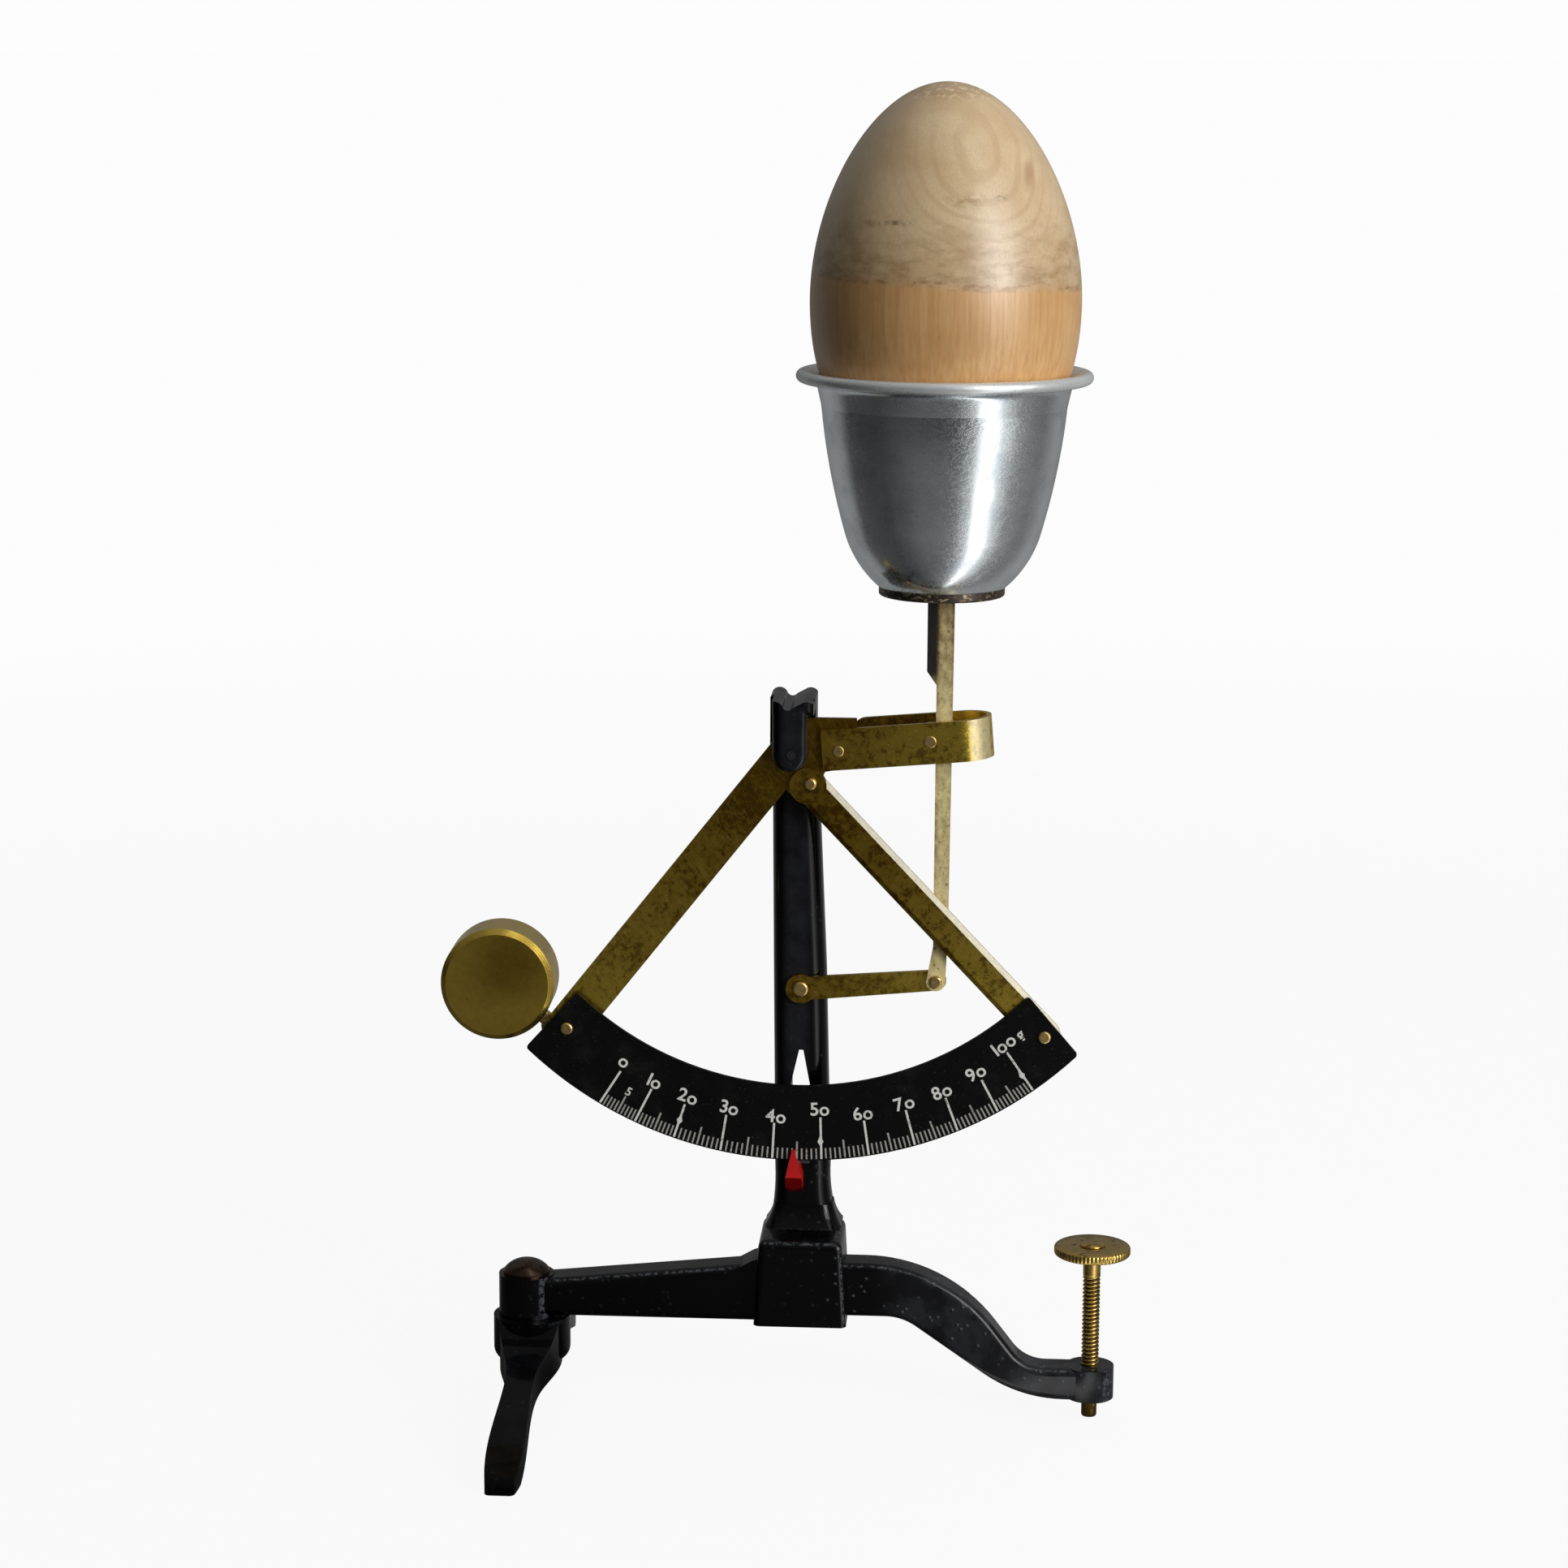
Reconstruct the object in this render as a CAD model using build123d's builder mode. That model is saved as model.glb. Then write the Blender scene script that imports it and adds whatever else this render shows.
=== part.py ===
"""Egg scale: a pendulum balance with a wooden egg, built as named pieces in one frame.

X runs to the right along the front, Y runs to the back, Z is up. The beam pivot is at x = 0
and the middle of the iron base is at y = 0. The feet stand on z = 0. Sizes are millimetres.
"""
import os
from math import acos, atan2, cos, degrees, hypot, radians, sin, tan

from build123d import *

os.makedirs("parts", exist_ok=True)

# Clearances and sheet
run_clear = 0.05          # radial gap of every turning pin
sheet = 0.9               # brass sheet of arms, fork, link and upright
pin_r = 0.8               # small pins
pin_deep = 3.5            # axle and link rivet reach this far into the column

# Pivots of the linkage
pivot_z = 115.9           # beam pivot P, at x = 0
tilt = 4.8                # beam angle above level
turn_up = 29.0            # beam travel from this pose, cup rising
arm_len = 22.9            # P to Q, and R to S
link_x, link_z = 1.4, 74.5                            # link pivot R on the column
q_x = arm_len * cos(radians(tilt))
q_z = pivot_z + arm_len * sin(radians(tilt))
s_x = link_x + arm_len * cos(radians(tilt))
s_z = link_z + arm_len * sin(radians(tilt))

# Depth planes, front to back
ear_front, ear_back = -6.6, -3.4
arm_front = -3.0                                      # right arm and front strap
arm_back = arm_front + sheet
hub_back = arm_back + sheet                           # left arm with hub plate
dial_thick = 0.7
dial_front = arm_front - dial_thick
upright_front = -1.1
link_front = upright_front + sheet + 0.1
link_back = link_front + sheet
column_front, column_back = 0.9, 7.7
fork_back = 7.4
fork_mid = (arm_front + fork_back) / 2                # cup axis lies here in depth
head_back = 8.2

# Cup axis
cup_x = q_x + 1.48
cup_y = fork_mid

# Base casting
block_low, block_high = 17.2, 32.3
block_half = 7.65
block_left, block_right = -5.9, 9.9
block_draft = 0.85
beam_half = 3.3
beam_bottom = 16.5
beam_top_out, beam_top_in = 22.65, 26.6
foot_x = -45.5            # axis of the foot rivet
boss_r = 4.75
boss_low, boss_high = 16.0, 23.3
cast_round = 1.2          # rounding of the long edges of the castings
screw_x = 51.5            # axis of the levelling screw
end_boss_r = 4.1
end_low, end_high = 3.6, 9.2

# Levelling screw
screw_r = 1.5
tip_r = 1.32
tip_len = 3.4
wheel_r, wheel_thick = 6.5, 1.5
wheel_low = 29.0
dome_high = 0.5

# Cross-foot
foot_hub_r = 6.6
foot_hub_x = foot_x + 0.9  # the foot casting sits off its rivet
foot_hub_high = boss_low - 0.05
foot_hub_low = 7.9
foot_reach = 44.0
foot_rivet_r = 2.2
rivet_head_r, rivet_head_high = 4.0, 2.4
hub_round = 2.4           # rounding under the hub

# Column
column_low, column_mid = 42.5, 76.9                   # levels of the named widths below
low_left, low_right = -2.95, 6.5
mid_left, mid_right = -3.35, 5.6
toe_left, toe_right = -3.8, 7.9
column_round, back_round = 3.0, 1.6   # front and back corners of the column
head_left, head_right = -3.3, 3.6
head_back_left = -4.0     # the head is wider behind the ear
shaft_left, shaft_right = -3.7, 4.0
head_top = 124.8
slot_top = pivot_z + 6.5  # underside of the bridge over the fork
ear_left, ear_right = -3.2, 2.6
notch_x, notch_deep = -0.9, 1.4         # valley across the top of the head
lobe_fall = 0.6           # the lobes fall by this much to the sides of the head
ear_round = 1.3

# Beam group
hub_high = 5.5            # top edge of the hub plate above the pivot
hub_left = -2.8
left_arm_dir = 231.8      # direction of the left arm, seen from the front
left_arm_up, left_arm_down = 3.5, 3.3
right_arm_w, right_eye_r = 5.5, 3.1
bevel_wide, bevel_deep = 0.85, 0.5       # bevel along the upper edge of the right arm
right_rivet_x, right_rivet_z = 3.0, 110.4
fork_high = 6.9
fork_end = 33.25          # outer end of the bend, from the pivot
fork_start = 4.85
fork_back_start = 9.6
fork_drop = -0.3          # strap centre line below the pivot
fork_rivet_x, fork_rivet_z = 7.6, 116.0
rivet_r = 0.7

# Dial
dial_x, dial_z = 1.38, 111.85
dial_ro, dial_ri = 66.36, 53.3
left_rivet_x, left_rivet_z = -37.9, 67.7
right_dial_rivet_x, right_dial_rivet_z = 42.65, 67.9

# Counterweight
weight_x, weight_z = -49.7, 75.1
weight_r, weight_thick, weight_front = 9.6, 9.0, -4.1
stud_r = 1.25
stud_dir = -39.4
stud_deep = 5.5

# Upright, cup and egg
wide_left, wide_right = q_x - 0.72, q_x + 3.68
upright_left, upright_right = q_x + 0.88, q_x + 3.28
upright_top = 141.75
wide_len = 12.4           # wide part under the disc
step_high = 2.3           # slanted step from the wide to the narrow part
lug_drop = 7.5            # from the channel's lower end down to the lug
upright_low = s_z + lug_drop
wide_low = upright_top - wide_len
narrow_high = wide_low - step_high
upright_back = 5.3
ear_r = 2.0
lug_r = 1.6
link_eye_r, link_end_r = 2.5, 1.75
disc_r, disc_thick = 10.45, 1.5
cup_low = upright_top + disc_thick
cup_wall = 0.8
cup_floor_r = 10.6
cup_knee_r, cup_knee_z = 14.0, cup_low + 3.95
cup_belly_r, cup_belly_z = 16.4, cup_low + 9.55
cup_side_r, cup_side_z = 18.65, cup_low + 19.05
cup_neck_r, cup_neck_z = 20.2, cup_low + 29.75
throat_r, throat_z = 20.8, cup_low + 32.45          # the wall turns out into the lip here
turn_r, turn_z = 21.9, cup_low + 33.5
lip_in_r, lip_in_z = 20.85, cup_low + 34.05
lip_r, lip_z = 24.4, cup_low + 34.65
lip_round = 1.0           # the lip is a rolled bead
egg_r = 22.2
egg_mid = lip_in_z + 12.9                             # widest level of the egg
egg_over, egg_under = 35.2, 27.8                      # heights above and below that level
egg_top, egg_bottom = egg_mid + egg_over, egg_mid - egg_under
top_pull, bottom_pull, end_pull = 16.5, 19.5, 12.1    # fullness of the egg's curves


def front_plane(y):
    """Sketch plane that faces the front, at depth y; extrusion runs to the front."""
    return Plane(origin=(0, y, 0), x_dir=(1, 0, 0), z_dir=(0, -1, 0))


def way(angle):
    """Unit step in the front view for an angle in degrees above the X axis."""
    return cos(radians(angle)), sin(radians(angle))


def along(x, z, angle, dist, side=0.0):
    """Point dist along an angle from (x, z), shifted side to its left."""
    cx, cz = way(angle)
    return x + dist * cx - side * cz, z + dist * cz + side * cx


def bend_turn(run, drop, radii):
    """Turn of two smooth bends and a straight that step down by drop over run, in degrees."""
    return degrees(atan2(run, radii - drop) - acos(radii / hypot(radii - drop, run)))


# Base casting: block, left beam with boss, right arm with boss
arm_in_top, arm_in_low = 27.1, 17.7
arm_top_start, arm_top_end = block_right + 3.0, screw_x - 7.6
arm_low_start, arm_low_end = block_right + 6.5, screw_x - 4.5
top_bend_r, top_fall_r = 28.0, 7.0
low_bend_r, low_fall_r = 9.0, 24.0
arm_top_turn = bend_turn(arm_top_end - arm_top_start, arm_in_top - end_high,
                         top_bend_r + top_fall_r)
arm_low_turn = bend_turn(arm_low_end - arm_low_start, arm_in_low - end_low,
                         low_bend_r + low_fall_r)
with BuildPart() as base_casting:
    with BuildSketch(Plane.XZ) as beam_side:
        with BuildLine():
            Polyline(
                (block_left + 2, beam_top_in + 1.6),
                (block_left - 0.6, beam_top_in + 0.7),
                (block_left - 2.2, beam_top_in - 0.2),
                (foot_x, beam_top_out),
                (foot_x, beam_bottom),
                (block_left + 2, beam_bottom),
                close=True,
            )
        make_face()
    extrude(amount=beam_half, both=True)
    sides = base_casting.faces().filter_by(Axis.Y).edges().sort_by(Edge.length)
    fillet(sides[-4:], cast_round)
    with BuildSketch(Plane.XY.offset(boss_low)):
        with Locations((foot_x, 0)):
            Circle(boss_r)
    extrude(amount=boss_high - boss_low)
    with BuildSketch(Plane.XZ) as right_side:
        with BuildLine():
            top_in = Line((block_right - 3, arm_in_top), (arm_top_start, arm_in_top))
            top_bend = JernArc(top_in @ 1, (1, 0), top_bend_r, -arm_top_turn)
            top_fall = JernArc((arm_top_end, end_high), (-1, 0), top_fall_r, -arm_top_turn)
            Line(top_bend @ 1, top_fall @ 1)
            top_out = Line(top_fall @ 0, (screw_x, end_high))
            low_out = Line(top_out @ 1, (screw_x, end_low))
            low_end = Line(low_out @ 1, (arm_low_end, end_low))
            low_fall = JernArc(low_end @ 1, (-1, 0), low_fall_r, -arm_low_turn)
            low_bend = JernArc((arm_low_start, arm_in_low), (1, 0), low_bend_r, -arm_low_turn)
            Line(low_fall @ 1, low_bend @ 1)
            low_in = Line(low_bend @ 0, (block_right - 3, arm_in_low))
            Line(low_in @ 1, top_in @ 0)
        make_face()
    extrude(amount=beam_half, both=True)
    arm_sides = base_casting.faces().filter_by(Axis.Y).sort_by(Axis.X)[-2:]
    fillet(arm_sides.edges().filter_by(Axis.Z, reverse=True), cast_round)
    with BuildSketch(Plane.XY.offset(end_low)):
        with Locations((screw_x, 0)):
            Circle(end_boss_r)
    extrude(amount=end_high - end_low)
    with BuildSketch(Plane.XZ):
        with BuildLine():
            Polyline(
                (block_left, block_low), (block_right, block_low),
                (block_right - block_draft, block_high), (block_left + block_draft, block_high),
                close=True,
            )
        make_face()
    extrude(amount=block_half, both=True)
    corners = base_casting.edges().filter_by_position(Axis.Y, block_half, block_half).sort_by(Axis.X)
    corners += base_casting.edges().filter_by_position(
        Axis.Y, -block_half, -block_half).sort_by(Axis.X)
    fillet([corners[0], corners[3], corners[4], corners[7]], cast_round)
    top_rim = base_casting.faces().sort_by(Axis.Z)[-1].edges()
    fillet(top_rim, 1.5)
    with Locations((foot_x, 0, boss_high)):
        Hole(radius=foot_rivet_r)
    with Locations((screw_x, 0, end_high)):
        Hole(radius=screw_r + run_clear)
base_casting.part.label = "base_casting"
export_step(base_casting.part, "parts/base_casting.step")

# Column: tapered pillar with foot flare, window, head and ear
head_low = pivot_z - 4.0  # the shaft meets the head here
flare_high = 3.9          # the flare runs out this far above the block
shaft_mid = (column_front + column_back) / 2
slit_gap = 0.2            # gap each side of the hub plate in its slit
slit_start = 0.3
slit_rise = (head_right + 1 + slit_start) * tan(radians(turn_up + 1))
window_left, window_right = -0.25, 3.1
window_top_left, window_top_right = 1.2, 1.9
window_low, window_shoulder, window_top = 43.6, 57.3, 63.6
with BuildPart() as column:
    with BuildSketch(front_plane(column_back)):
        with BuildLine():
            left_flare = ThreePointArc(
                (toe_left, block_high), (low_left - 0.2, block_high + flare_high),
                (low_left, column_low),
            )
            left_low = Line(left_flare @ 1, (mid_left, column_mid))
            left_high = Line(left_low @ 1, (shaft_left, head_low))
            shaft_end = Line(left_high @ 1, (shaft_right, head_low))
            right_high = Line(shaft_end @ 1, (mid_right, column_mid))
            right_low = Line(right_high @ 1, (low_right, column_low))
            right_flare = ThreePointArc(
                right_low @ 1, (low_right + 0.4, block_high + flare_high),
                (toe_right, block_high),
            )
            Line(right_flare @ 1, left_flare @ 0)
        make_face()
    extrude(amount=column_back - column_front)
    for side, corner in ((0, column_round), (-1, back_round)):
        tall = column.faces().filter_by(Axis.Y).sort_by(Axis.Y)[side].edges()
        fillet(tall.filter_by_position(Axis.Z, column_low, head_low - 1), corner)
    shaft_half = (column_back - column_front) / 2
    flare_half = (toe_right - toe_left) / 2
    for share in (1.0, 0.35, 0.0):
        spread = share ** 1.5
        with BuildSketch(Plane.XY.offset(block_high + (1 - share) * flare_high)):
            with Locations(((toe_left + toe_right) / 2, shaft_mid)):
                RectangleRounded(
                    2 * (flare_half - 0.75 + 1.5 * spread), 2 * (shaft_half + 1.8 * spread),
                    back_round * 1.5,
                )
    loft()
    with BuildSketch(front_plane(head_back)):
        with BuildLine():
            Polyline(
                (head_back_left, head_low - 1), (head_left, head_low - 2),
                (head_right, head_low - 2), (head_right, head_top),
                (head_back_left, head_top), close=True,
            )
        make_face()
    extrude(amount=head_back - column_front)
    with BuildSketch(front_plane(column_front)):
        with BuildLine():
            Polyline(
                (head_left, slot_top), (head_right, slot_top),
                (head_right, head_top), (head_left, head_top), close=True,
            )
        make_face()
    extrude(amount=column_front - ear_front)
    with BuildSketch(front_plane(hub_back + slit_gap)):
        with BuildLine():
            Polyline(
                (-slit_start, slot_top - 0.1), (head_right + 1, slot_top + slit_rise),
                (head_right + 1, slot_top - 0.1), close=True,
            )
        make_face()
    extrude(amount=sheet + 2 * slit_gap, mode=Mode.SUBTRACT)
    with BuildSketch(front_plane(ear_back)):
        with BuildLine():
            ear_mid = (ear_left + ear_right) / 2
            ear_half = (ear_right - ear_left) / 2
            Line((ear_left, head_top), (ear_left, pivot_z - 0.2))
            ThreePointArc(
                (ear_left, pivot_z - 0.2), (ear_mid, pivot_z - 0.2 - ear_half),
                (ear_right, pivot_z - 0.2),
            )
            Line((ear_right, pivot_z - 0.2), (ear_right, head_top))
            Line((ear_right, head_top), (ear_left, head_top))
        make_face()
    extrude(amount=ear_back - ear_front)
    face = column.faces().filter_by(Axis.Y).sort_by(Axis.Y)[0]
    fillet(face.edges().filter_by_position(Axis.Z, 0, head_top - 1), ear_round)
    with BuildSketch(front_plane(head_back)):
        with BuildLine():
            left_lobe = ThreePointArc(
                (head_back_left, head_top - lobe_fall), (head_left + 0.5, head_top),
                (notch_x - 0.7, head_top - notch_deep + 0.7),
            )
            valley = ThreePointArc(
                left_lobe @ 1, (notch_x, head_top - notch_deep),
                (notch_x + 1.0, head_top - notch_deep + 0.35),
            )
            rise = Line(valley @ 1, (notch_x + 2.4, head_top - 0.3))
            right_lobe = ThreePointArc(
                rise @ 1, (head_right - 1.1, head_top), (head_right, head_top - lobe_fall),
            )
            Polyline(
                right_lobe @ 1, (head_right + 1, head_top - lobe_fall),
                (head_right + 1, head_top + 1), (head_back_left - 1, head_top + 1),
                (head_back_left - 1, head_top - lobe_fall), left_lobe @ 0,
            )
        make_face()
    extrude(amount=head_back - ear_front, mode=Mode.SUBTRACT)
    with BuildSketch(front_plane(column_back)):
        with BuildLine():
            Polyline(
                (window_top_left, window_top), (window_top_right, window_top),
                (window_right, window_shoulder), (window_right, window_low),
                (window_left, window_low), (window_left, window_shoulder), close=True,
            )
        make_face()
    extrude(amount=column_back - column_front, mode=Mode.SUBTRACT)
    with Locations(front_plane(ear_front)):
        with Locations((0, pivot_z)):
            Hole(radius=pin_r + run_clear, depth=column_front - ear_front + pin_deep + 0.5)
    with Locations(front_plane(column_front)):
        with Locations((link_x, link_z)):
            Hole(radius=pin_r, depth=pin_deep)
column.part.label = "column"
export_step(column.part, "parts/column.step")

# Red index pointer: a wedge that stands forward under the dial
tip_x, tip_z = 0.6, 47.5
pointer_half = 1.45
pointer_front = dial_front - 0.9
pointer_low = 38.2
dial_floor = 44.6         # the pointer crosses under the dial below this height
with BuildPart() as index_pointer:
    with BuildSketch(front_plane(column_front)):
        with BuildLine():
            left_side = Line((tip_x - 0.25, tip_z), (tip_x - pointer_half, dial_floor - 2.6))
            left_down = Line(left_side @ 1, (tip_x - pointer_half, pointer_low + pointer_half))
            bottom = ThreePointArc(
                left_down @ 1, (tip_x, pointer_low), (tip_x + pointer_half, pointer_low + pointer_half),
            )
            right_up = Line(bottom @ 1, (tip_x + pointer_half, dial_floor - 2.6))
            right_side = Line(right_up @ 1, (tip_x + 0.25, tip_z))
            Line(right_side @ 1, left_side @ 0)
        make_face()
    extrude(amount=column_front - pointer_front)
    with BuildSketch(Plane.YZ):
        with BuildLine():
            Polyline(
                (dial_front - 0.25, tip_z + 1), (dial_front - 0.25, dial_floor),
                (column_front + 1, dial_floor), (column_front + 1, tip_z + 1), close=True,
            )
        make_face()
    extrude(amount=block_half, both=True, mode=Mode.SUBTRACT)
    with BuildSketch(Plane.YZ):
        with BuildLine():
            Polyline(
                (pointer_front - 1, dial_floor - 2.0), (pointer_front, dial_floor - 2.0),
                (column_front, pointer_low + 0.3), (column_front, pointer_low - 1),
                (pointer_front - 1, pointer_low - 1), close=True,
            )
        make_face()
    extrude(amount=block_half, both=True, mode=Mode.SUBTRACT)
index_pointer.part.label = "index_pointer"
export_step(index_pointer.part, "parts/index_pointer.step")

# Rivet that carries the link on the column
link_rivet_head_r, link_rivet_head = 1.35, 0.55
link_play = 0.05          # end play of the link under the rivet head
rivet_plane = Plane(origin=(link_x, column_front + pin_deep, link_z), x_dir=(1, 0, 0),
                    z_dir=(0, -1, 0))
shank_len = column_front + pin_deep - link_front + link_play
with BuildPart() as link_rivet:
    with BuildSketch(rivet_plane):
        Circle(pin_r)
    extrude(amount=shank_len)
    with BuildSketch(rivet_plane.offset(shank_len)):
        Circle(link_rivet_head_r)
    extrude(amount=link_rivet_head)
    fillet(link_rivet.faces().sort_by(Axis.Y)[0].edges(), link_rivet_head * 0.75)
link_rivet.part.label = "link_rivet"
export_step(link_rivet.part, "parts/link_rivet.step")

# Cross-foot: hub under the boss with a front leg and a rear leg
leg_root, leg_waist, leg_tip = 5.2, 2.4, 2.35
with BuildPart() as cross_foot:
    with BuildSketch(Plane.YZ.offset(foot_hub_x)):
        with BuildLine():
            level = Line((0, foot_hub_high), (foot_hub_r - 2.4, foot_hub_high))
            neck = ThreePointArc(
                level @ 1, (foot_hub_r + 1.6, foot_hub_high - 3.1),
                (foot_reach * 0.32, foot_hub_high - 5.0),
            )
            top_arc = ThreePointArc(
                neck @ 1, (foot_reach * 0.64, 7.6), (foot_reach - 1.0, 2.8))
            toe = ThreePointArc(top_arc @ 1, (foot_reach - 0.1, 1.6), (foot_reach, 0))
            sole = Line(toe @ 1, (foot_reach - 5.0, 0))
            under = ThreePointArc(sole @ 1, (foot_reach * 0.45, 4.8), (0, foot_hub_low))
            Line(under @ 1, level @ 0)
        make_face()
    extrude(amount=foot_hub_r, both=True)
    with BuildSketch(Plane.XY):
        with BuildLine():
            for side in (-1, 1):
                root = (foot_hub_x + side * leg_root, 0)
                waist = (foot_hub_x + side * leg_waist, foot_reach * 0.45)
                Spline(root, (foot_hub_x + side * (leg_root - 0.6), foot_hub_r),
                       (foot_hub_x + side * (leg_waist + 0.6), foot_reach * 0.28), waist,
                       (foot_hub_x + side * leg_tip, foot_reach))
            Line((foot_hub_x - leg_tip, foot_reach), (foot_hub_x + leg_tip, foot_reach))
            Line((foot_hub_x - leg_root, 0), (foot_hub_x + leg_root, 0))
        make_face()
    extrude(amount=foot_hub_high, mode=Mode.INTERSECT)
    fillet(cross_foot.faces().sort_by(Axis.Y)[-1].edges().filter_by(Axis.Z), 1.0)
    mirror(about=Plane.XZ)
    with BuildSketch(Plane.XZ):
        with BuildLine():
            rim = Line((foot_hub_x + foot_hub_r, foot_hub_high),
                       (foot_hub_x + foot_hub_r, foot_hub_low + hub_round))
            corner = RadiusArc(rim @ 1, (foot_hub_x + foot_hub_r - hub_round, foot_hub_low),
                               hub_round)
            Polyline(corner @ 1, (foot_hub_x, foot_hub_low), (foot_hub_x, foot_hub_high),
                     rim @ 0)
        make_face()
    revolve(axis=Axis((foot_hub_x, 0, 0), (0, 0, 1)))
    with Locations((foot_x, 0, foot_hub_high)):
        Hole(radius=foot_rivet_r + run_clear)
    with BuildSketch(Plane.XY.offset(foot_hub_low)):
        with Locations((foot_x, 0)):
            Circle(foot_rivet_r + 1.2)
    extrude(amount=-foot_hub_low, mode=Mode.SUBTRACT)
cross_foot.part.label = "cross_foot"
export_step(cross_foot.part, "parts/cross_foot.step")

# Foot rivet: domed head above the boss, upset end in a recess under the hub
tail_r, tail_high = foot_rivet_r + 1.0, 1.0
tail_top = foot_hub_low - run_clear
foot_plane = Plane(origin=(foot_x, 0, 0), x_dir=(1, 0, 0), z_dir=(0, -1, 0))
with BuildPart() as foot_rivet:
    with BuildSketch(foot_plane):
        with BuildLine():
            dome = ThreePointArc(
                (0, boss_high + rivet_head_high),
                (rivet_head_r * 0.66, boss_high + rivet_head_high * 0.74),
                (rivet_head_r, boss_high + 0.5),
            )
            Polyline(
                dome @ 1, (rivet_head_r, boss_high), (foot_rivet_r, boss_high),
                (foot_rivet_r, tail_top), (tail_r, tail_top), (tail_r, tail_top - tail_high),
                (0, tail_top - tail_high), dome @ 0,
            )
        make_face()
    revolve(axis=Axis((foot_x, 0, 0), (0, 0, 1)))
foot_rivet.part.label = "foot_rivet"
export_step(foot_rivet.part, "parts/foot_rivet.step")

# Levelling screw and its thumb wheel
with BuildPart() as levelling_screw:
    with BuildSketch(Plane.XY):
        with Locations((screw_x, 0)):
            Circle(tip_r)
    extrude(amount=tip_len)
    with BuildSketch(Plane.XY.offset(tip_len)):
        with Locations((screw_x, 0)):
            Circle(screw_r)
    extrude(amount=wheel_low + wheel_thick - tip_len)
    with BuildSketch(Plane.XY.offset(wheel_low + wheel_thick)):
        with Locations((screw_x, 0)):
            Circle(screw_r + 0.6)
    extrude(amount=dome_high)
    fillet(levelling_screw.faces().sort_by(Axis.Z)[-1].edges(), 0.4)
    fillet(levelling_screw.faces().sort_by(Axis.Z)[0].edges(), 0.4)
levelling_screw.part.label = "levelling_screw"
export_step(levelling_screw.part, "parts/levelling_screw.step")

with BuildPart() as thumb_wheel:
    with BuildSketch(Plane.XY.offset(wheel_low)):
        with Locations((screw_x, 0)):
            Circle(wheel_r)
            Circle(screw_r, mode=Mode.SUBTRACT)
    extrude(amount=wheel_thick)
    rims = thumb_wheel.edges().filter_by(GeomType.CIRCLE).filter_by(
        lambda edge: edge.radius > wheel_r - 0.1)
    fillet(rims, 0.3)
thumb_wheel.part.label = "thumb_wheel"
export_step(thumb_wheel.part, "parts/thumb_wheel.step")

# Left arm with hub plate
arm_reach = hypot(left_rivet_x, left_rivet_z - pivot_z)
hub_tail = 10.6
with BuildPart() as left_arm:
    with BuildSketch(front_plane(hub_back)):
        with BuildLine():
            Polyline(
                along(0, pivot_z, left_arm_dir, -1.0, -left_arm_up),
                along(0, pivot_z, left_arm_dir, arm_reach, -left_arm_up),
                along(0, pivot_z, left_arm_dir, arm_reach, left_arm_down),
                along(0, pivot_z, left_arm_dir, 4.0, left_arm_down),
                close=True,
            )
        make_face()
        with Locations(along(0, pivot_z, left_arm_dir, arm_reach, (left_arm_down - left_arm_up) / 2)):
            Circle((left_arm_up + left_arm_down) / 2)
        with BuildLine():
            Polyline(
                (hub_left, pivot_z - 2.0), (hub_left, pivot_z + hub_high),
                (hub_tail, pivot_z + hub_high), (hub_tail, pivot_z - 2.6),
                (5.4, pivot_z - 3.6), (right_rivet_x + 2.0, right_rivet_z + 1.0),
                (right_rivet_x + 0.8, right_rivet_z - 2.8),
                (right_rivet_x - 2.5, right_rivet_z - 2.8), (-3.0, pivot_z - 5.0),
                close=True,
            )
        make_face()
        with Locations((0, pivot_z)):
            Circle(pin_r, mode=Mode.SUBTRACT)
        with Locations((fork_rivet_x, fork_rivet_z), (right_rivet_x, right_rivet_z),
                       (left_rivet_x, left_rivet_z)):
            Circle(rivet_r, mode=Mode.SUBTRACT)
    extrude(amount=sheet)
left_arm.part.label = "left_arm"
export_step(left_arm.part, "parts/left_arm.step")

# Right arm
with BuildPart() as right_arm:
    with BuildSketch(front_plane(arm_back)):
        with Locations((right_rivet_x - 0.33, right_rivet_z - 0.31),
                       (right_dial_rivet_x, right_dial_rivet_z)):
            Circle(right_arm_w / 2)
        make_hull()
    extrude(amount=sheet)
    front_edges = right_arm.faces().sort_by(Axis.Y)[0].edges().filter_by(GeomType.LINE)
    upper_edge = front_edges.sort_by(Axis.Z)[-1]
    chamfer(upper_edge, bevel_deep, bevel_wide)
    with BuildSketch(front_plane(arm_back)):
        with Locations((right_rivet_x - 0.4, right_rivet_z - 0.4)):
            Circle(right_eye_r)
    extrude(amount=sheet)
    with BuildSketch(front_plane(arm_back)):
        with Locations((right_rivet_x, right_rivet_z), (right_dial_rivet_x, right_dial_rivet_z)):
            Circle(rivet_r)
    extrude(amount=sheet, mode=Mode.SUBTRACT)
right_arm.part.label = "right_arm"
export_step(right_arm.part, "parts/right_arm.step")

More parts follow.
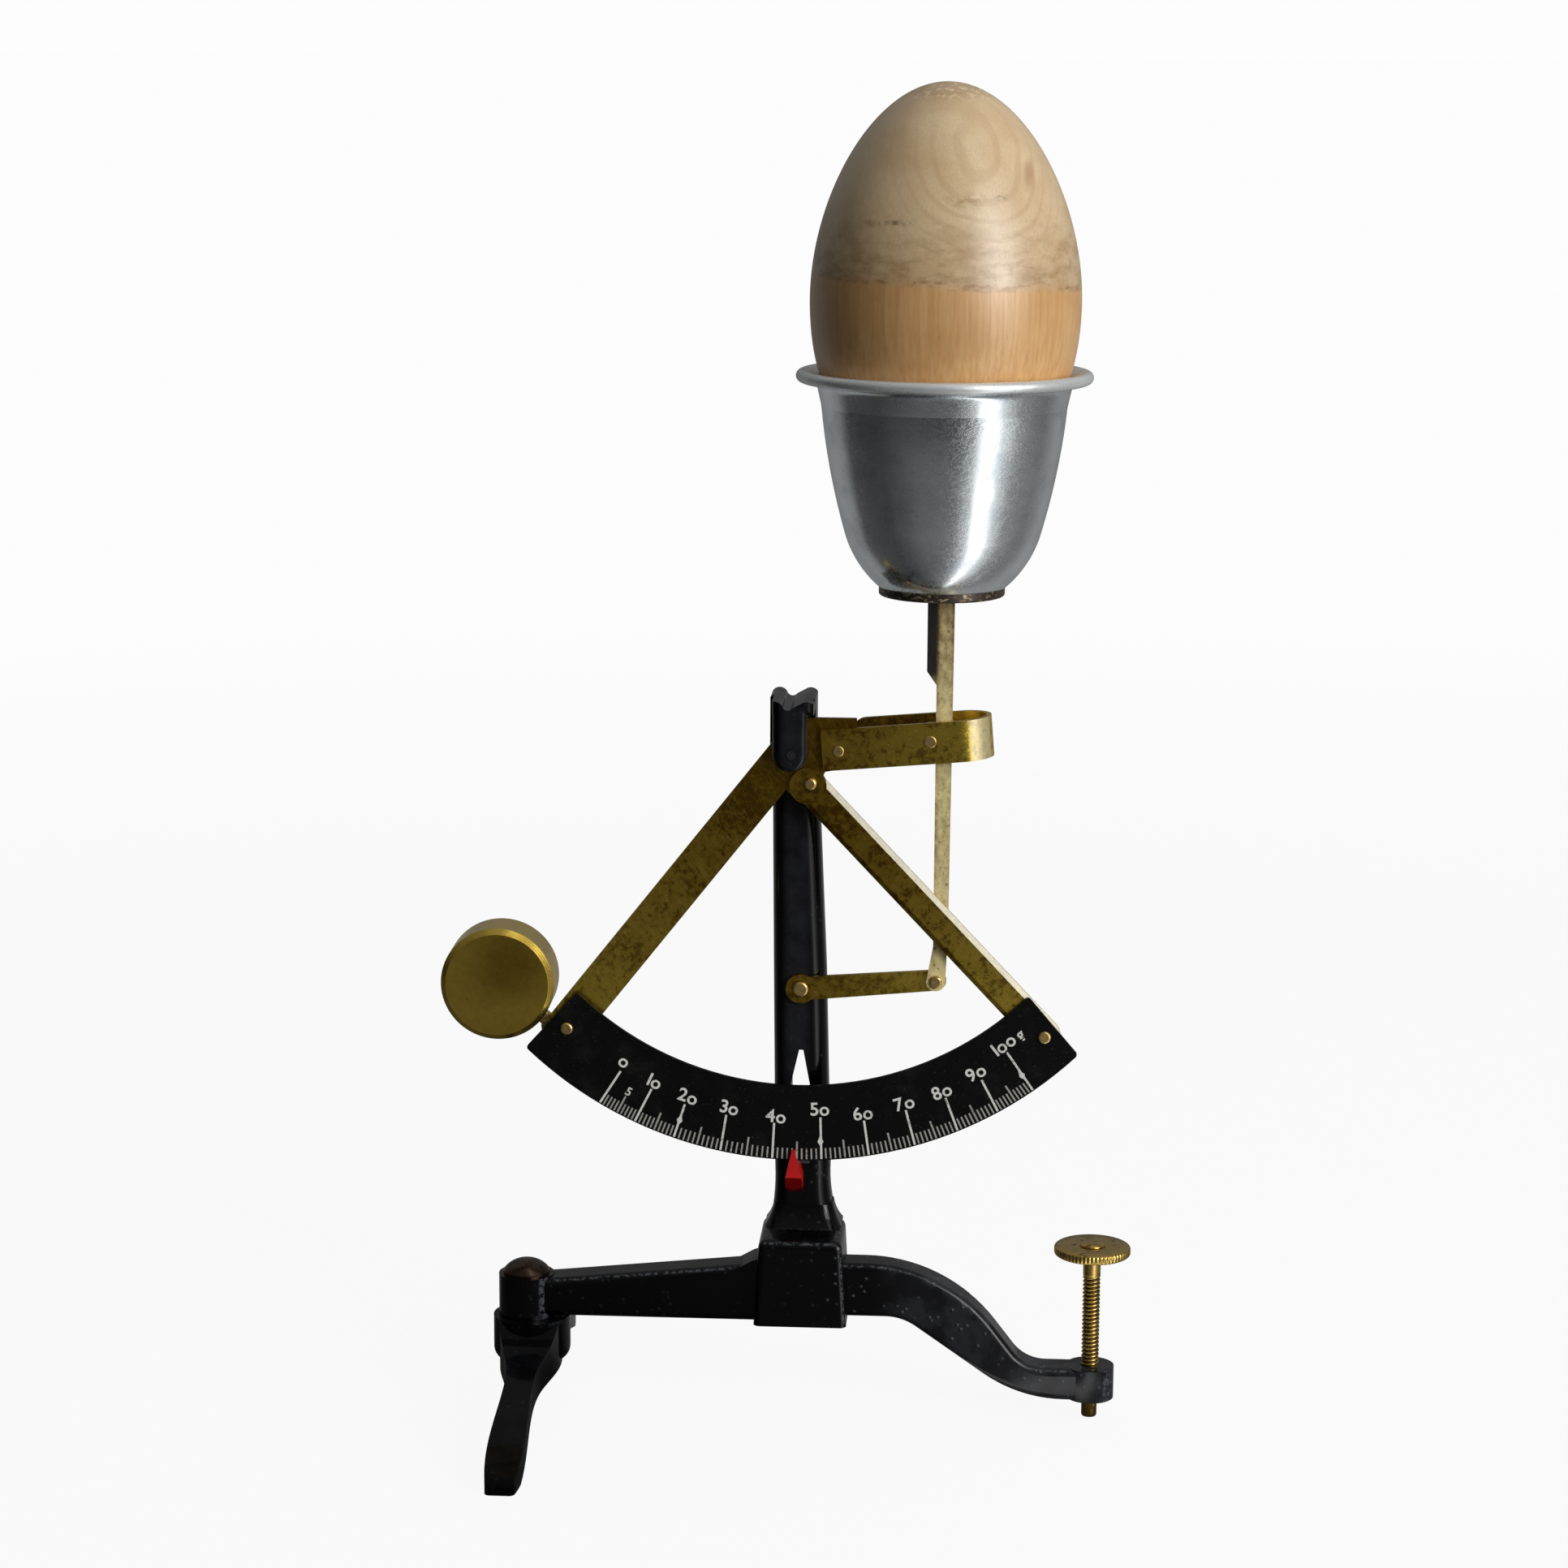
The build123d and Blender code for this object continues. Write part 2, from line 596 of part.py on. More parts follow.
# Fork: hairpin strap from the hub plate round the upright
fork_step, fork_rise = way(tilt)
fork_plane = Plane(
    origin=(-fork_drop * fork_rise, fork_mid, pivot_z + fork_drop * fork_step),
    x_dir=(fork_step, 0, fork_rise), z_dir=(-fork_rise, 0, fork_step),
)
bend_r = (fork_back - arm_front) / 2
bend_x = fork_end - bend_r
with BuildPart() as fork:
    with BuildSketch(fork_plane):
        with BuildLine():
            outer_front = Line((fork_start, -bend_r), (bend_x, -bend_r))
            outer_bend = ThreePointArc(outer_front @ 1, (fork_end, 0), (bend_x, bend_r))
            outer_back = Line(outer_bend @ 1, (fork_back_start, bend_r))
            end_back = Line(outer_back @ 1, (fork_back_start, bend_r - sheet))
            inner_back = Line(end_back @ 1, (bend_x, bend_r - sheet))
            inner_bend = ThreePointArc(
                inner_back @ 1, (fork_end - sheet, 0), (bend_x, sheet - bend_r),
            )
            inner_front = Line(inner_bend @ 1, (fork_start, sheet - bend_r))
            Line(inner_front @ 1, outer_front @ 0)
        make_face()
    extrude(amount=fork_high / 2, both=True)
    fillet(fork.edges().filter_by(Axis.Y).filter_by_position(
        Axis.Y, fork_back - sheet - 0.1, fork_back).group_by(Axis.X)[0], 2.5)
    add(right_arm.part, mode=Mode.SUBTRACT)
    for hole_x, hole_z, hole_r in ((q_x, q_z, pin_r), (fork_rivet_x, fork_rivet_z, rivet_r)):
        with BuildSketch(front_plane(fork_back)):
            with Locations((hole_x, hole_z)):
                Circle(hole_r)
        extrude(amount=fork_back - arm_front, mode=Mode.SUBTRACT)
fork.part.label = "fork"
export_step(fork.part, "parts/fork.step")

# Dial: curved black plate with square-cut ends
left_cut_in, left_cut_out = 225.25, 225.8             # directions of the cut ends, inner and outer
right_cut_in, right_cut_out = 316.1, 315.0
left_end_in = along(dial_x, dial_z, left_cut_in, dial_ri)
left_end_out = along(dial_x, dial_z, left_cut_out, dial_ro)
right_end_in = along(dial_x, dial_z, right_cut_in, dial_ri)
right_end_out = along(dial_x, dial_z, right_cut_out, dial_ro)
with BuildPart() as dial:
    with BuildSketch(front_plane(arm_front)):
        with BuildLine():
            outer_arc = ThreePointArc(left_end_out, (dial_x, dial_z - dial_ro), right_end_out)
            right_cut = Line(outer_arc @ 1, right_end_in)
            inner_arc = ThreePointArc(right_cut @ 1, (dial_x, dial_z - dial_ri), left_end_in)
            Line(inner_arc @ 1, outer_arc @ 0)
        make_face()
        with Locations((left_rivet_x, left_rivet_z), (right_dial_rivet_x, right_dial_rivet_z)):
            Circle(rivet_r, mode=Mode.SUBTRACT)
    extrude(amount=dial_thick)
    fillet(dial.edges().filter_by(Axis.Y).filter_by(GeomType.LINE), 0.6)
dial.part.label = "dial"
export_step(dial.part, "parts/dial.step")

# Spacer between dial and left arm
with BuildPart() as dial_spacer:
    with BuildSketch(front_plane(arm_back)):
        with Locations((left_rivet_x, left_rivet_z)):
            Circle(2.2)
            Circle(rivet_r, mode=Mode.SUBTRACT)
    extrude(amount=sheet)
dial_spacer.part.label = "dial_spacer"
export_step(dial_spacer.part, "parts/dial_spacer.step")


def shank_and_heads(x, z, shank, back, front, head, head_high, tail):
    """Round-headed rivet along Y inside the current part: shank, front head and back head."""
    upright_way = (Align.CENTER, Align.CENTER, Align.MIN)
    with Locations(Plane(origin=(x, back, z), x_dir=(1, 0, 0), z_dir=(0, -1, 0))):
        Cylinder(shank, back - front, align=upright_way)
    with Locations(Plane(origin=(x, front, z), x_dir=(1, 0, 0), z_dir=(0, -1, 0))):
        raised = Cylinder(head, head_high, align=upright_way)
    fillet(raised.faces().sort_by(Axis.Y)[0].edges(), head_high * 0.8)
    if tail > 0:
        with Locations(Plane(origin=(x, back + 0.35, z), x_dir=(1, 0, 0), z_dir=(0, -1, 0))):
            Cylinder(tail, 0.35, align=upright_way)


# Rivets of the beam group
pad_back = hub_back + 0.8
with BuildPart() as left_dial_rivet:
    shank_and_heads(left_rivet_x, left_rivet_z, rivet_r, pad_back, dial_front, 1.1, 0.5, 1.1)
left_dial_rivet.part.label = "left_dial_rivet"
export_step(left_dial_rivet.part, "parts/left_dial_rivet.step")

with BuildPart() as right_dial_rivet:
    shank_and_heads(right_dial_rivet_x, right_dial_rivet_z, rivet_r, arm_back, dial_front, 1.1, 0.5, 1.1)
right_dial_rivet.part.label = "right_dial_rivet"
export_step(right_dial_rivet.part, "parts/right_dial_rivet.step")

with BuildPart() as fork_rivet:
    shank_and_heads(fork_rivet_x, fork_rivet_z, rivet_r, hub_back, arm_front, 0.95, 0.25, 1.1)
fork_rivet.part.label = "fork_rivet"
export_step(fork_rivet.part, "parts/fork_rivet.step")

with BuildPart() as right_arm_rivet:
    shank_and_heads(right_rivet_x, right_rivet_z, rivet_r, hub_back, arm_front, 1.1, 0.6, 1.1)
right_arm_rivet.part.label = "right_arm_rivet"
export_step(right_arm_rivet.part, "parts/right_arm_rivet.step")

# Beam axle: pressed in the hub plate, turns in the ear and in the column
with BuildPart() as beam_axle:
    with BuildSketch(front_plane(column_front + pin_deep)):
        with Locations((0, pivot_z)):
            Circle(pin_r)
    extrude(amount=column_front + pin_deep - ear_front + 0.15)
beam_axle.part.label = "beam_axle"
export_step(beam_axle.part, "parts/beam_axle.step")

# Fork pin: pressed in both straps, the upright turns on it
with BuildPart() as fork_pin:
    shank_and_heads(q_x, q_z, pin_r, fork_back, arm_front, 1.05, 0.25, 1.05)
fork_pin.part.label = "fork_pin"
export_step(fork_pin.part, "parts/fork_pin.step")

# Counterweight: thick disc with a chamfered front ring and a blind hole for its stud
stud_y = hub_back + stud_r - 0.35
stud_c, stud_s = way(stud_dir)
stud_plane = Plane(
    origin=(weight_x + (weight_r - stud_deep) * stud_c, stud_y, weight_z + (weight_r - stud_deep) * stud_s),
    x_dir=(0, 1, 0), z_dir=(stud_c, 0, stud_s),
)
with BuildPart() as counterweight:
    with BuildSketch(front_plane(weight_front + weight_thick)):
        with Locations((weight_x, weight_z)):
            Circle(weight_r)
    extrude(amount=weight_thick)
    chamfer(counterweight.faces().sort_by(Axis.Y)[0].edges(), 0.9)
    chamfer(counterweight.faces().sort_by(Axis.Y)[-1].edges(), 0.4)
    with BuildSketch(stud_plane):
        Circle(stud_r)
    extrude(amount=stud_deep + 2, mode=Mode.SUBTRACT)
counterweight.part.label = "counterweight"
export_step(counterweight.part, "parts/counterweight.step")

# Stud: round rod into the weight, with a flat eye on the back of the left arm
stud_len = 12.0
pad_r = 2.1
with BuildPart() as counterweight_stud:
    with BuildSketch(stud_plane):
        Circle(stud_r)
    extrude(amount=stud_len - weight_r + stud_deep)
    with BuildSketch(front_plane(hub_back)):
        with Locations(along(weight_x, weight_z, stud_dir, weight_r + 4.5)):
            Rectangle(20, 20, rotation=stud_dir)
    extrude(amount=3.0, mode=Mode.SUBTRACT)
    with BuildSketch(front_plane(pad_back)):
        with Locations((left_rivet_x, left_rivet_z),
                       along(weight_x, weight_z, stud_dir, weight_r + pad_r + 0.3)):
            Circle(pad_r)
        make_hull()
        with Locations((left_rivet_x, left_rivet_z)):
            Circle(rivet_r, mode=Mode.SUBTRACT)
    extrude(amount=pad_back - hub_back)
counterweight_stud.part.label = "counterweight_stud"
export_step(counterweight_stud.part, "parts/counterweight_stud.step")

# Upright: folded channel, open to the left, that carries the cup
with BuildPart() as upright:
    with BuildSketch(front_plane(upright_back)):
        with BuildLine():
            Polyline(
                (wide_left, upright_top), (wide_right, upright_top), (upright_right, upright_low),
                (upright_left, upright_low),
                (upright_left, narrow_high), (wide_left, wide_low), close=True,
            )
        make_face()
        with Locations((q_x, q_z)):
            Circle(ear_r)
    extrude(amount=upright_back - upright_front)
    with BuildSketch(front_plane(upright_back - sheet)):
        with BuildLine():
            Polyline(
                (q_x - ear_r - 1, upright_top - sheet), (wide_right - sheet, upright_top - sheet),
                (upright_right - sheet, upright_low - 1), (q_x - ear_r - 1, upright_low - 1),
                close=True,
            )
        make_face()
    extrude(amount=upright_back - upright_front - 2 * sheet, mode=Mode.SUBTRACT)
    with BuildSketch(front_plane(upright_front + sheet)):
        with BuildLine():
            Polyline(
                (upright_left, upright_low + 1), (upright_right, upright_low + 1),
                (upright_right, upright_low - 1.0), (s_x + lug_r, s_z), (s_x - lug_r, s_z),
                (upright_left, upright_low - 1.5), close=True,
            )
        make_face()
        with Locations((s_x, s_z)):
            Circle(lug_r)
    extrude(amount=sheet)
    for hole_x, hole_z, hole_r, deep in (
        (q_x, q_z, pin_r + run_clear, upright_back - upright_front), (s_x, s_z, pin_r, sheet),
    ):
        with BuildSketch(front_plane(upright_front + deep)):
            with Locations((hole_x, hole_z)):
                Circle(hole_r)
        extrude(amount=deep, mode=Mode.SUBTRACT)
    with Locations((cup_x, cup_y, upright_top)):
        Hole(radius=pin_r, depth=sheet)
upright.part.label = "upright"
export_step(upright.part, "parts/upright.step")

# Link: bar with round ends between column and upright
with BuildPart() as link:
    with BuildSketch(front_plane(link_back)):
        with Locations((link_x, link_z)):
            Circle(link_end_r + 0.25)
        with Locations((s_x, s_z)):
            Circle(link_end_r)
        make_hull()
        with Locations((link_x, link_z)):
            Circle(link_eye_r)
        with Locations((link_x, link_z), (s_x, s_z)):
            Circle(pin_r + run_clear, mode=Mode.SUBTRACT)
    extrude(amount=sheet)
link.part.label = "link"
export_step(link.part, "parts/link.step")

# Link pin: pressed in the lug of the upright
with BuildPart() as link_pin:
    shank_and_heads(s_x, s_z, pin_r, link_back + link_play, upright_front, 1.1, 0.5, 1.1)
link_pin.part.label = "link_pin"
export_step(link_pin.part, "parts/link_pin.step")

# Disc under the cup
with BuildPart() as cup_disc:
    with BuildSketch(Plane.XY.offset(upright_top)):
        with Locations((cup_x, cup_y)):
            Circle(disc_r)
            Circle(pin_r, mode=Mode.SUBTRACT)
    extrude(amount=disc_thick)
    fillet(cup_disc.faces().sort_by(Axis.Z)[0].edges().sort_by(Edge.length)[-1], 0.4)
cup_disc.part.label = "cup_disc"
export_step(cup_disc.part, "parts/cup_disc.step")

# Cup: spun bowl with a rolled lip
cup_plane = Plane(origin=(cup_x, cup_y, 0), x_dir=(1, 0, 0), z_dir=(0, -1, 0))
with BuildPart() as cup:
    with BuildSketch(cup_plane):
        with BuildLine():
            floor_out = Line((pin_r, cup_low), (cup_floor_r, cup_low))
            low_curve = ThreePointArc(
                floor_out @ 1, (cup_knee_r, cup_knee_z), (cup_belly_r, cup_belly_z),
            )
            wall_curve = ThreePointArc(
                low_curve @ 1, (cup_side_r, cup_side_z), (cup_neck_r, cup_neck_z),
            )
            throat = Line(wall_curve @ 1, (throat_r, throat_z))
            turn = TangentArc(throat @ 1, (turn_r, turn_z), tangent=throat % 1)
            under = Line(turn @ 1, (lip_r - lip_round, lip_z - lip_round))
            roll = ThreePointArc(
                under @ 1, (lip_r, lip_z), (lip_r - lip_round, lip_z + lip_round),
            )
            lip_top = ThreePointArc(
                roll @ 1, ((lip_r + lip_in_r) / 2 - 0.2, lip_z + lip_round * 0.75),
                (lip_in_r, lip_in_z),
            )
            neck_in = Line(lip_top @ 1, (cup_neck_r - cup_wall, cup_neck_z))
            wall_in = ThreePointArc(
                neck_in @ 1, (cup_side_r - cup_wall, cup_side_z),
                (cup_belly_r - cup_wall, cup_belly_z),
            )
            low_in = ThreePointArc(
                wall_in @ 1, (cup_knee_r - cup_wall * 0.75, cup_knee_z + cup_wall * 0.6),
                (cup_floor_r - cup_wall * 0.4, cup_low + cup_wall),
            )
            floor_in = Line(low_in @ 1, (pin_r, cup_low + cup_wall))
            Line(floor_in @ 1, floor_out @ 0)
        make_face()
    revolve(axis=Axis((cup_x, cup_y, 0), (0, 0, 1)))
cup.part.label = "cup"
export_step(cup.part, "parts/cup.step")

# Rivet through cup floor, disc and top of the upright
with BuildPart() as cup_rivet:
    with BuildSketch(Plane.XY.offset(upright_top - sheet)):
        with Locations((cup_x, cup_y)):
            Circle(pin_r)
    extrude(amount=sheet + disc_thick + cup_wall)
    with BuildSketch(Plane.XY.offset(cup_low + cup_wall)):
        with Locations((cup_x, cup_y)):
            Circle(2.0)
    extrude(amount=0.8)
    fillet(cup_rivet.faces().sort_by(Axis.Z)[-1].edges(), 0.6)
    with BuildSketch(Plane.XY.offset(upright_top - sheet)):
        with Locations((cup_x, cup_y)):
            Circle(1.2)
    extrude(amount=-0.5)
cup_rivet.part.label = "cup_rivet"
export_step(cup_rivet.part, "parts/cup_rivet.step")

# Wooden egg: round end up, resting in the lip of the cup
with BuildPart() as wooden_egg:
    with BuildSketch(cup_plane):
        with BuildLine():
            Bezier(
                (egg_r, egg_mid), (egg_r, egg_mid + top_pull), (end_pull, egg_top), (0, egg_top),
            )
            Bezier(
                (egg_r, egg_mid), (egg_r, egg_mid - bottom_pull), (end_pull, egg_bottom),
                (0, egg_bottom),
            )
            Line((0, egg_bottom), (0, egg_top))
        make_face()
    revolve(axis=Axis((cup_x, cup_y, 0), (0, 0, 1)))
wooden_egg.part.label = "wooden_egg"
export_step(wooden_egg.part, "parts/wooden_egg.step")
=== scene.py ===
"""Egg scale: finishes, dial marks, screw thread, knurled wheel, light and camera.

Lengths are millimetres, brought to metres by MM where a mesh or a node takes them. X runs to
the right along the front, Y to the back, Z up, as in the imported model.
"""
from math import cos, pi, radians, sin

import bpy
import numpy as np
from mathutils import Matrix, Vector


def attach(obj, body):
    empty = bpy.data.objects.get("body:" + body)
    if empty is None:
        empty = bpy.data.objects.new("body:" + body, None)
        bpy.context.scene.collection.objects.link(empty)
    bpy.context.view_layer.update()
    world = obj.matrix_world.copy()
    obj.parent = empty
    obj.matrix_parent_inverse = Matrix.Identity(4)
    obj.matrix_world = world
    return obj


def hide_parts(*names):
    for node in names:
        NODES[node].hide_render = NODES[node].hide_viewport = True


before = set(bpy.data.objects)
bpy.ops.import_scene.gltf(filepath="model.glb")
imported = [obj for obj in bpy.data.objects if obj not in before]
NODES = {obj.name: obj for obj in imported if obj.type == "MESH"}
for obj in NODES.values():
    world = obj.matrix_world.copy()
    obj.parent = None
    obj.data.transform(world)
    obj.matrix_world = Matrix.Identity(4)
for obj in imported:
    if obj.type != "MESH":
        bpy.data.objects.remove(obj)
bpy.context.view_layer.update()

MM = 0.001
FAR = 1e6                             # mm, so long that an axis no longer counts

# Places on the balance
DIAL_CENTRE = (1.38, 111.85)          # x and z
DIAL_FRONT = -3.7                     # y of its face
DIAL_EDGE = 66.36                     # outer radius
CUP_AXIS = (24.3, 2.2)                # x and y
CUP_LIP = 178.9                       # top of the rolled lip
EGG_SEAM = 193.9                      # level where the two tones of the wood meet
EGG_TOP = 225.4
WEIGHT = (-49.7, -4.1, 75.1)          # middle of its front face
# Ends of the brass strips for their painted shade: darker at the first end, lighter at the
# second
LEFT_ARM_HIGH, LEFT_ARM_LOW = (-4, -2, 112), (-38, -2, 68)
RIGHT_ARM_HIGH, RIGHT_ARM_LOW = (14, -3, 100), (39, -3, 71)
FORK_LEFT, FORK_RIGHT = (8, -3, 118), (34, -3, 114)
LINK_LEFT, LINK_RIGHT = (0, 0, 74), (26, 0, 77)
# Levels and places where a finish changes
SCREW_X = 51.5
THREAD_TOP = 25.4
BLOCK_TOP = 32.3
COLUMN_LOW = 46.0                     # end of the flare at its foot
POINTER_LOW = 38.6
UPRIGHT_MIDDLE = 25.2                 # x, middle of the narrow part
UPRIGHT_STEP = 127.0                  # level where it widens


def linear(red, green, blue):
    """Colour of a paint or metal given as 0 to 255 display values, as a shader takes it."""
    def channel(value):
        share = value / 255
        return share / 12.92 if share <= 0.04045 else ((share + 0.055) / 1.055) ** 2.4
    return (channel(red), channel(green), channel(blue), 1.0)


class Value:
    """What a node gives out: arithmetic on it adds Math nodes to the same material."""

    def __init__(self, tree, socket):
        self.tree = tree
        self.socket = socket

    def maths(self, operation, *terms):
        """One Math node over these terms, numbers or values, in this order."""
        node = self.tree.nodes.new("ShaderNodeMath")
        node.operation = operation
        for inlet, term in zip(node.inputs, terms):
            if isinstance(term, Value):
                self.tree.links.new(term.socket, inlet)
            else:
                inlet.default_value = term
        return Value(self.tree, node.outputs[0])

    def __add__(self, other):
        return self.maths("ADD", self, other)

    def __radd__(self, other):
        return self.maths("ADD", other, self)

    def __sub__(self, other):
        return self.maths("SUBTRACT", self, other)

    def __rsub__(self, other):
        return self.maths("SUBTRACT", other, self)

    def __mul__(self, other):
        return self.maths("MULTIPLY", self, other)

    def __rmul__(self, other):
        return self.maths("MULTIPLY", other, self)

    def __truediv__(self, other):
        return self.maths("DIVIDE", self, other)

    def clip(self):
        """The value held between 0 and 1."""
        return self.maths("MINIMUM", self.maths("MAXIMUM", self, 0.0), 1.0)

    def high(self, other):
        """The higher of the two."""
        return self.maths("MAXIMUM", self, other)


class Nodes:
    """Adds nodes to a node tree and hands their outputs on as values."""

    def __init__(self, tree):
        self.tree = tree

    def node(self, kind, settings=None, inlets=None, out=0):
        """Any node: its settings or ramp stops first, then values or links of its sockets."""
        node = self.tree.nodes.new(kind)
        for key, value in (settings or {}).items():
            if key == "stops":
                for _ in range(len(value) - 2):
                    node.color_ramp.elements.new(0.5)
                for element, (at, colour) in zip(node.color_ramp.elements, value):
                    element.position = at
                    element.color = colour
            else:
                setattr(node, key, value)
        for key, value in (inlets or {}).items():
            if isinstance(value, Value):
                self.tree.links.new(value.socket, node.inputs[key])
            else:
                node.inputs[key].default_value = value
        return Value(self.tree, node.outputs[out])


class Finish(Nodes):
    """One surface finish: a Principled shader and the nodes that vary it over the piece."""

    def __init__(self, name, **constants):
        self.material = bpy.data.materials.new(name)
        self.material.use_nodes = True
        super().__init__(self.material.node_tree)
        self.shader = self.tree.nodes["Principled BSDF"]
        for words, value in constants.items():
            self.shader.inputs[words.replace("_", " ")].default_value = value
        self.here = self.node("ShaderNodeTexCoord", out="Object")

    def place(self, size=(1, 1, 1), turn=(0, 0, 0), centre=(0, 0, 0)):
        """Object coordinates from a centre, turned, and counted in these sizes in mm."""
        return self.node("ShaderNodeMapping", {"vector_type": "TEXTURE"}, {
            "Vector": self.here,
            "Location": [part * MM for part in centre],
            "Rotation": [radians(part) for part in turn],
            "Scale": [part * MM for part in size],
        })

    def noise(self, size, detail=3.0, rough=0.55, turn=(0, 0, 0), centre=(0, 0, 0)):
        """Fractal noise centred on 0.5, its blots about this size in mm along turned axes."""
        return self.node("ShaderNodeTexNoise", None, {
            "Vector": self.place(size, turn, centre), "Scale": 1.0, "Detail": detail,
            "Roughness": rough,
        })

    def step(self, value, start, end):
        """0 below start, 1 above end, with a soft rise between."""
        return self.node("ShaderNodeMapRange", {"interpolation_type": "SMOOTHSTEP"}, {
            "Value": value, "From Min": start, "From Max": end,
        })

    def axis(self, name):
        """One object coordinate in mm."""
        return self.node("ShaderNodeSeparateXYZ", None, {"Vector": self.here}, out=name) * 1000

    def facing(self, name):
        """One part of the surface normal, along a world axis."""
        normal = self.node("ShaderNodeNewGeometry", out="Normal")
        return self.node("ShaderNodeSeparateXYZ", None, {"Vector": normal}, out=name)

    def reach(self, centre, size=(1, 1, 1)):
        """Distance from a centre, counted along each axis in these sizes in mm."""
        return self.node("ShaderNodeVectorMath", {"operation": "LENGTH"},
                         {"Vector": self.place(size, centre=centre)}, out="Value")

    def spot(self, centre, inner, outer, size=(1, 1, 1)):
        """1 within the inner reach of a centre and 0 beyond the outer one."""
        return 1 - self.step(self.reach(centre, size), inner, outer)

    def along(self, start, end):
        """0 at the start point and 1 at the end point, even between, in mm."""
        line = Vector(end) - Vector(start)
        offset = self.place(centre=start)
        shade = self.node("ShaderNodeVectorMath", {"operation": "DOT_PRODUCT"}, {
            0: offset, 1: line / line.length_squared,
        }, out="Value")
        return shade.clip()

    def mix(self, share, low, high, blend="MIX"):
        """Colour low where share is 0 and colour high where it is 1."""
        node = self.tree.nodes.new("ShaderNodeMix")
        node.data_type = "RGBA"
        node.blend_type = blend
        for inlet, value in ((0, share), (6, low), (7, high)):
            if isinstance(value, Value):
                self.tree.links.new(value.socket, node.inputs[inlet])
            else:
                node.inputs[inlet].default_value = value
        return Value(self.tree, node.outputs[2])

    def scratches(self, length, width, turns, level):
        """Fine scratches: stretched noise at several turns, only its crests kept."""
        marks = None
        for turn in turns:
            crest = self.noise((length, width, width), 2, 0.4, turn)
            line = self.step(crest, level, level + 0.05)
            marks = line if marks is None else marks.high(line)
        return marks

    def bump(self, height, distance, strength):
        """The normal for a height map whose full height is this many mm."""
        return self.node("ShaderNodeBump", None, {
            "Height": height, "Distance": distance * MM, "Strength": strength,
        })

    def finish(self, colour, rough=None, metal=None, coat=None, normal=None):
        """Feeds the shader with what varies over the surface."""
        feeds = {"Base Color": colour, "Roughness": rough, "Metallic": metal,
                 "Coat Weight": coat, "Normal": normal}
        for key, value in feeds.items():
            if isinstance(value, Value):
                self.tree.links.new(value.socket, self.shader.inputs[key])
            elif value is not None:
                self.shader.inputs[key].default_value = value
        return self.material


def brass(name, shaded_end, lit_end, lean, dark, stains, highlight_share=0.0):
    """Old sheet brass: olive gold, with painted shade at one end fading to painted light at the
    other as the strip mirrors the room, brown stains, freckles and scratches along a strip that
    leans by this angle; with a highlight share, faces at the front that turn to the right get a
    painted
    highlight: pale, less metallic and rougher."""
    skin = Finish(name)
    turn = (0, lean, 0)
    # Painted shade: darker towards the shaded end, lighter towards the lit end.
    painted_shade_run = skin.along(shaded_end, lit_end)
    cloud = skin.noise((9, 4, 4), 5, 0.65, turn)
    mottle = skin.noise((1.1, 1.1, 1.1), 5, 0.7)
    drawn = skin.noise((16, 0.35, 0.35), turn=turn)
    freckle = skin.step(skin.noise((0.5, 0.5, 0.5), 2), 0.64, 0.74)
    stain = skin.step(mottle + 0.6 * (cloud - 0.5), 0.5, 0.62)
    lines = skin.scratches(3, 0.12, [turn, (0, lean + 18, 0)], 0.66)
    darkening = (dark + 0.6 - 0.7 * painted_shade_run + 0.7 * (cloud - 0.5) + 1.1 * (mottle - 0.5)).clip()
    colour = skin.mix(darkening, linear(240, 208, 88), linear(120, 94, 22))
    colour = skin.mix(0.3 * drawn, colour, linear(232, 206, 120), "SOFT_LIGHT")
    colour = skin.mix(stains * stain, colour, linear(78, 54, 14))
    colour = skin.mix(0.6 * freckle * (0.3 + darkening).clip(), colour, linear(58, 42, 14))
    colour = skin.mix(0.16 * lines, colour, linear(236, 214, 140))
    rough = (0.24 + 0.08 * darkening + 0.12 * (mottle - 0.5) + 0.12 * freckle).clip()
    height = 0.7 * mottle + 0.4 * drawn - 0.4 * lines - 0.8 * freckle
    metal = 0.93 - 0.3 * freckle
    # Painted highlight on faces at the front that turn to the right.
    if highlight_share:
        front = skin.step(-1 * skin.facing("Y"), 0.3, 0.5)
        lit_slope = highlight_share * front * skin.step(skin.facing("X"), 0.2, 0.4)
        colour = skin.mix(lit_slope, colour, linear(204, 198, 178))
        metal = metal * (1 - 0.7 * lit_slope)
        rough = rough + 0.3 * lit_slope
    return skin.finish(colour, rough, metal, None, skin.bump(height, 0.02, 0.5))


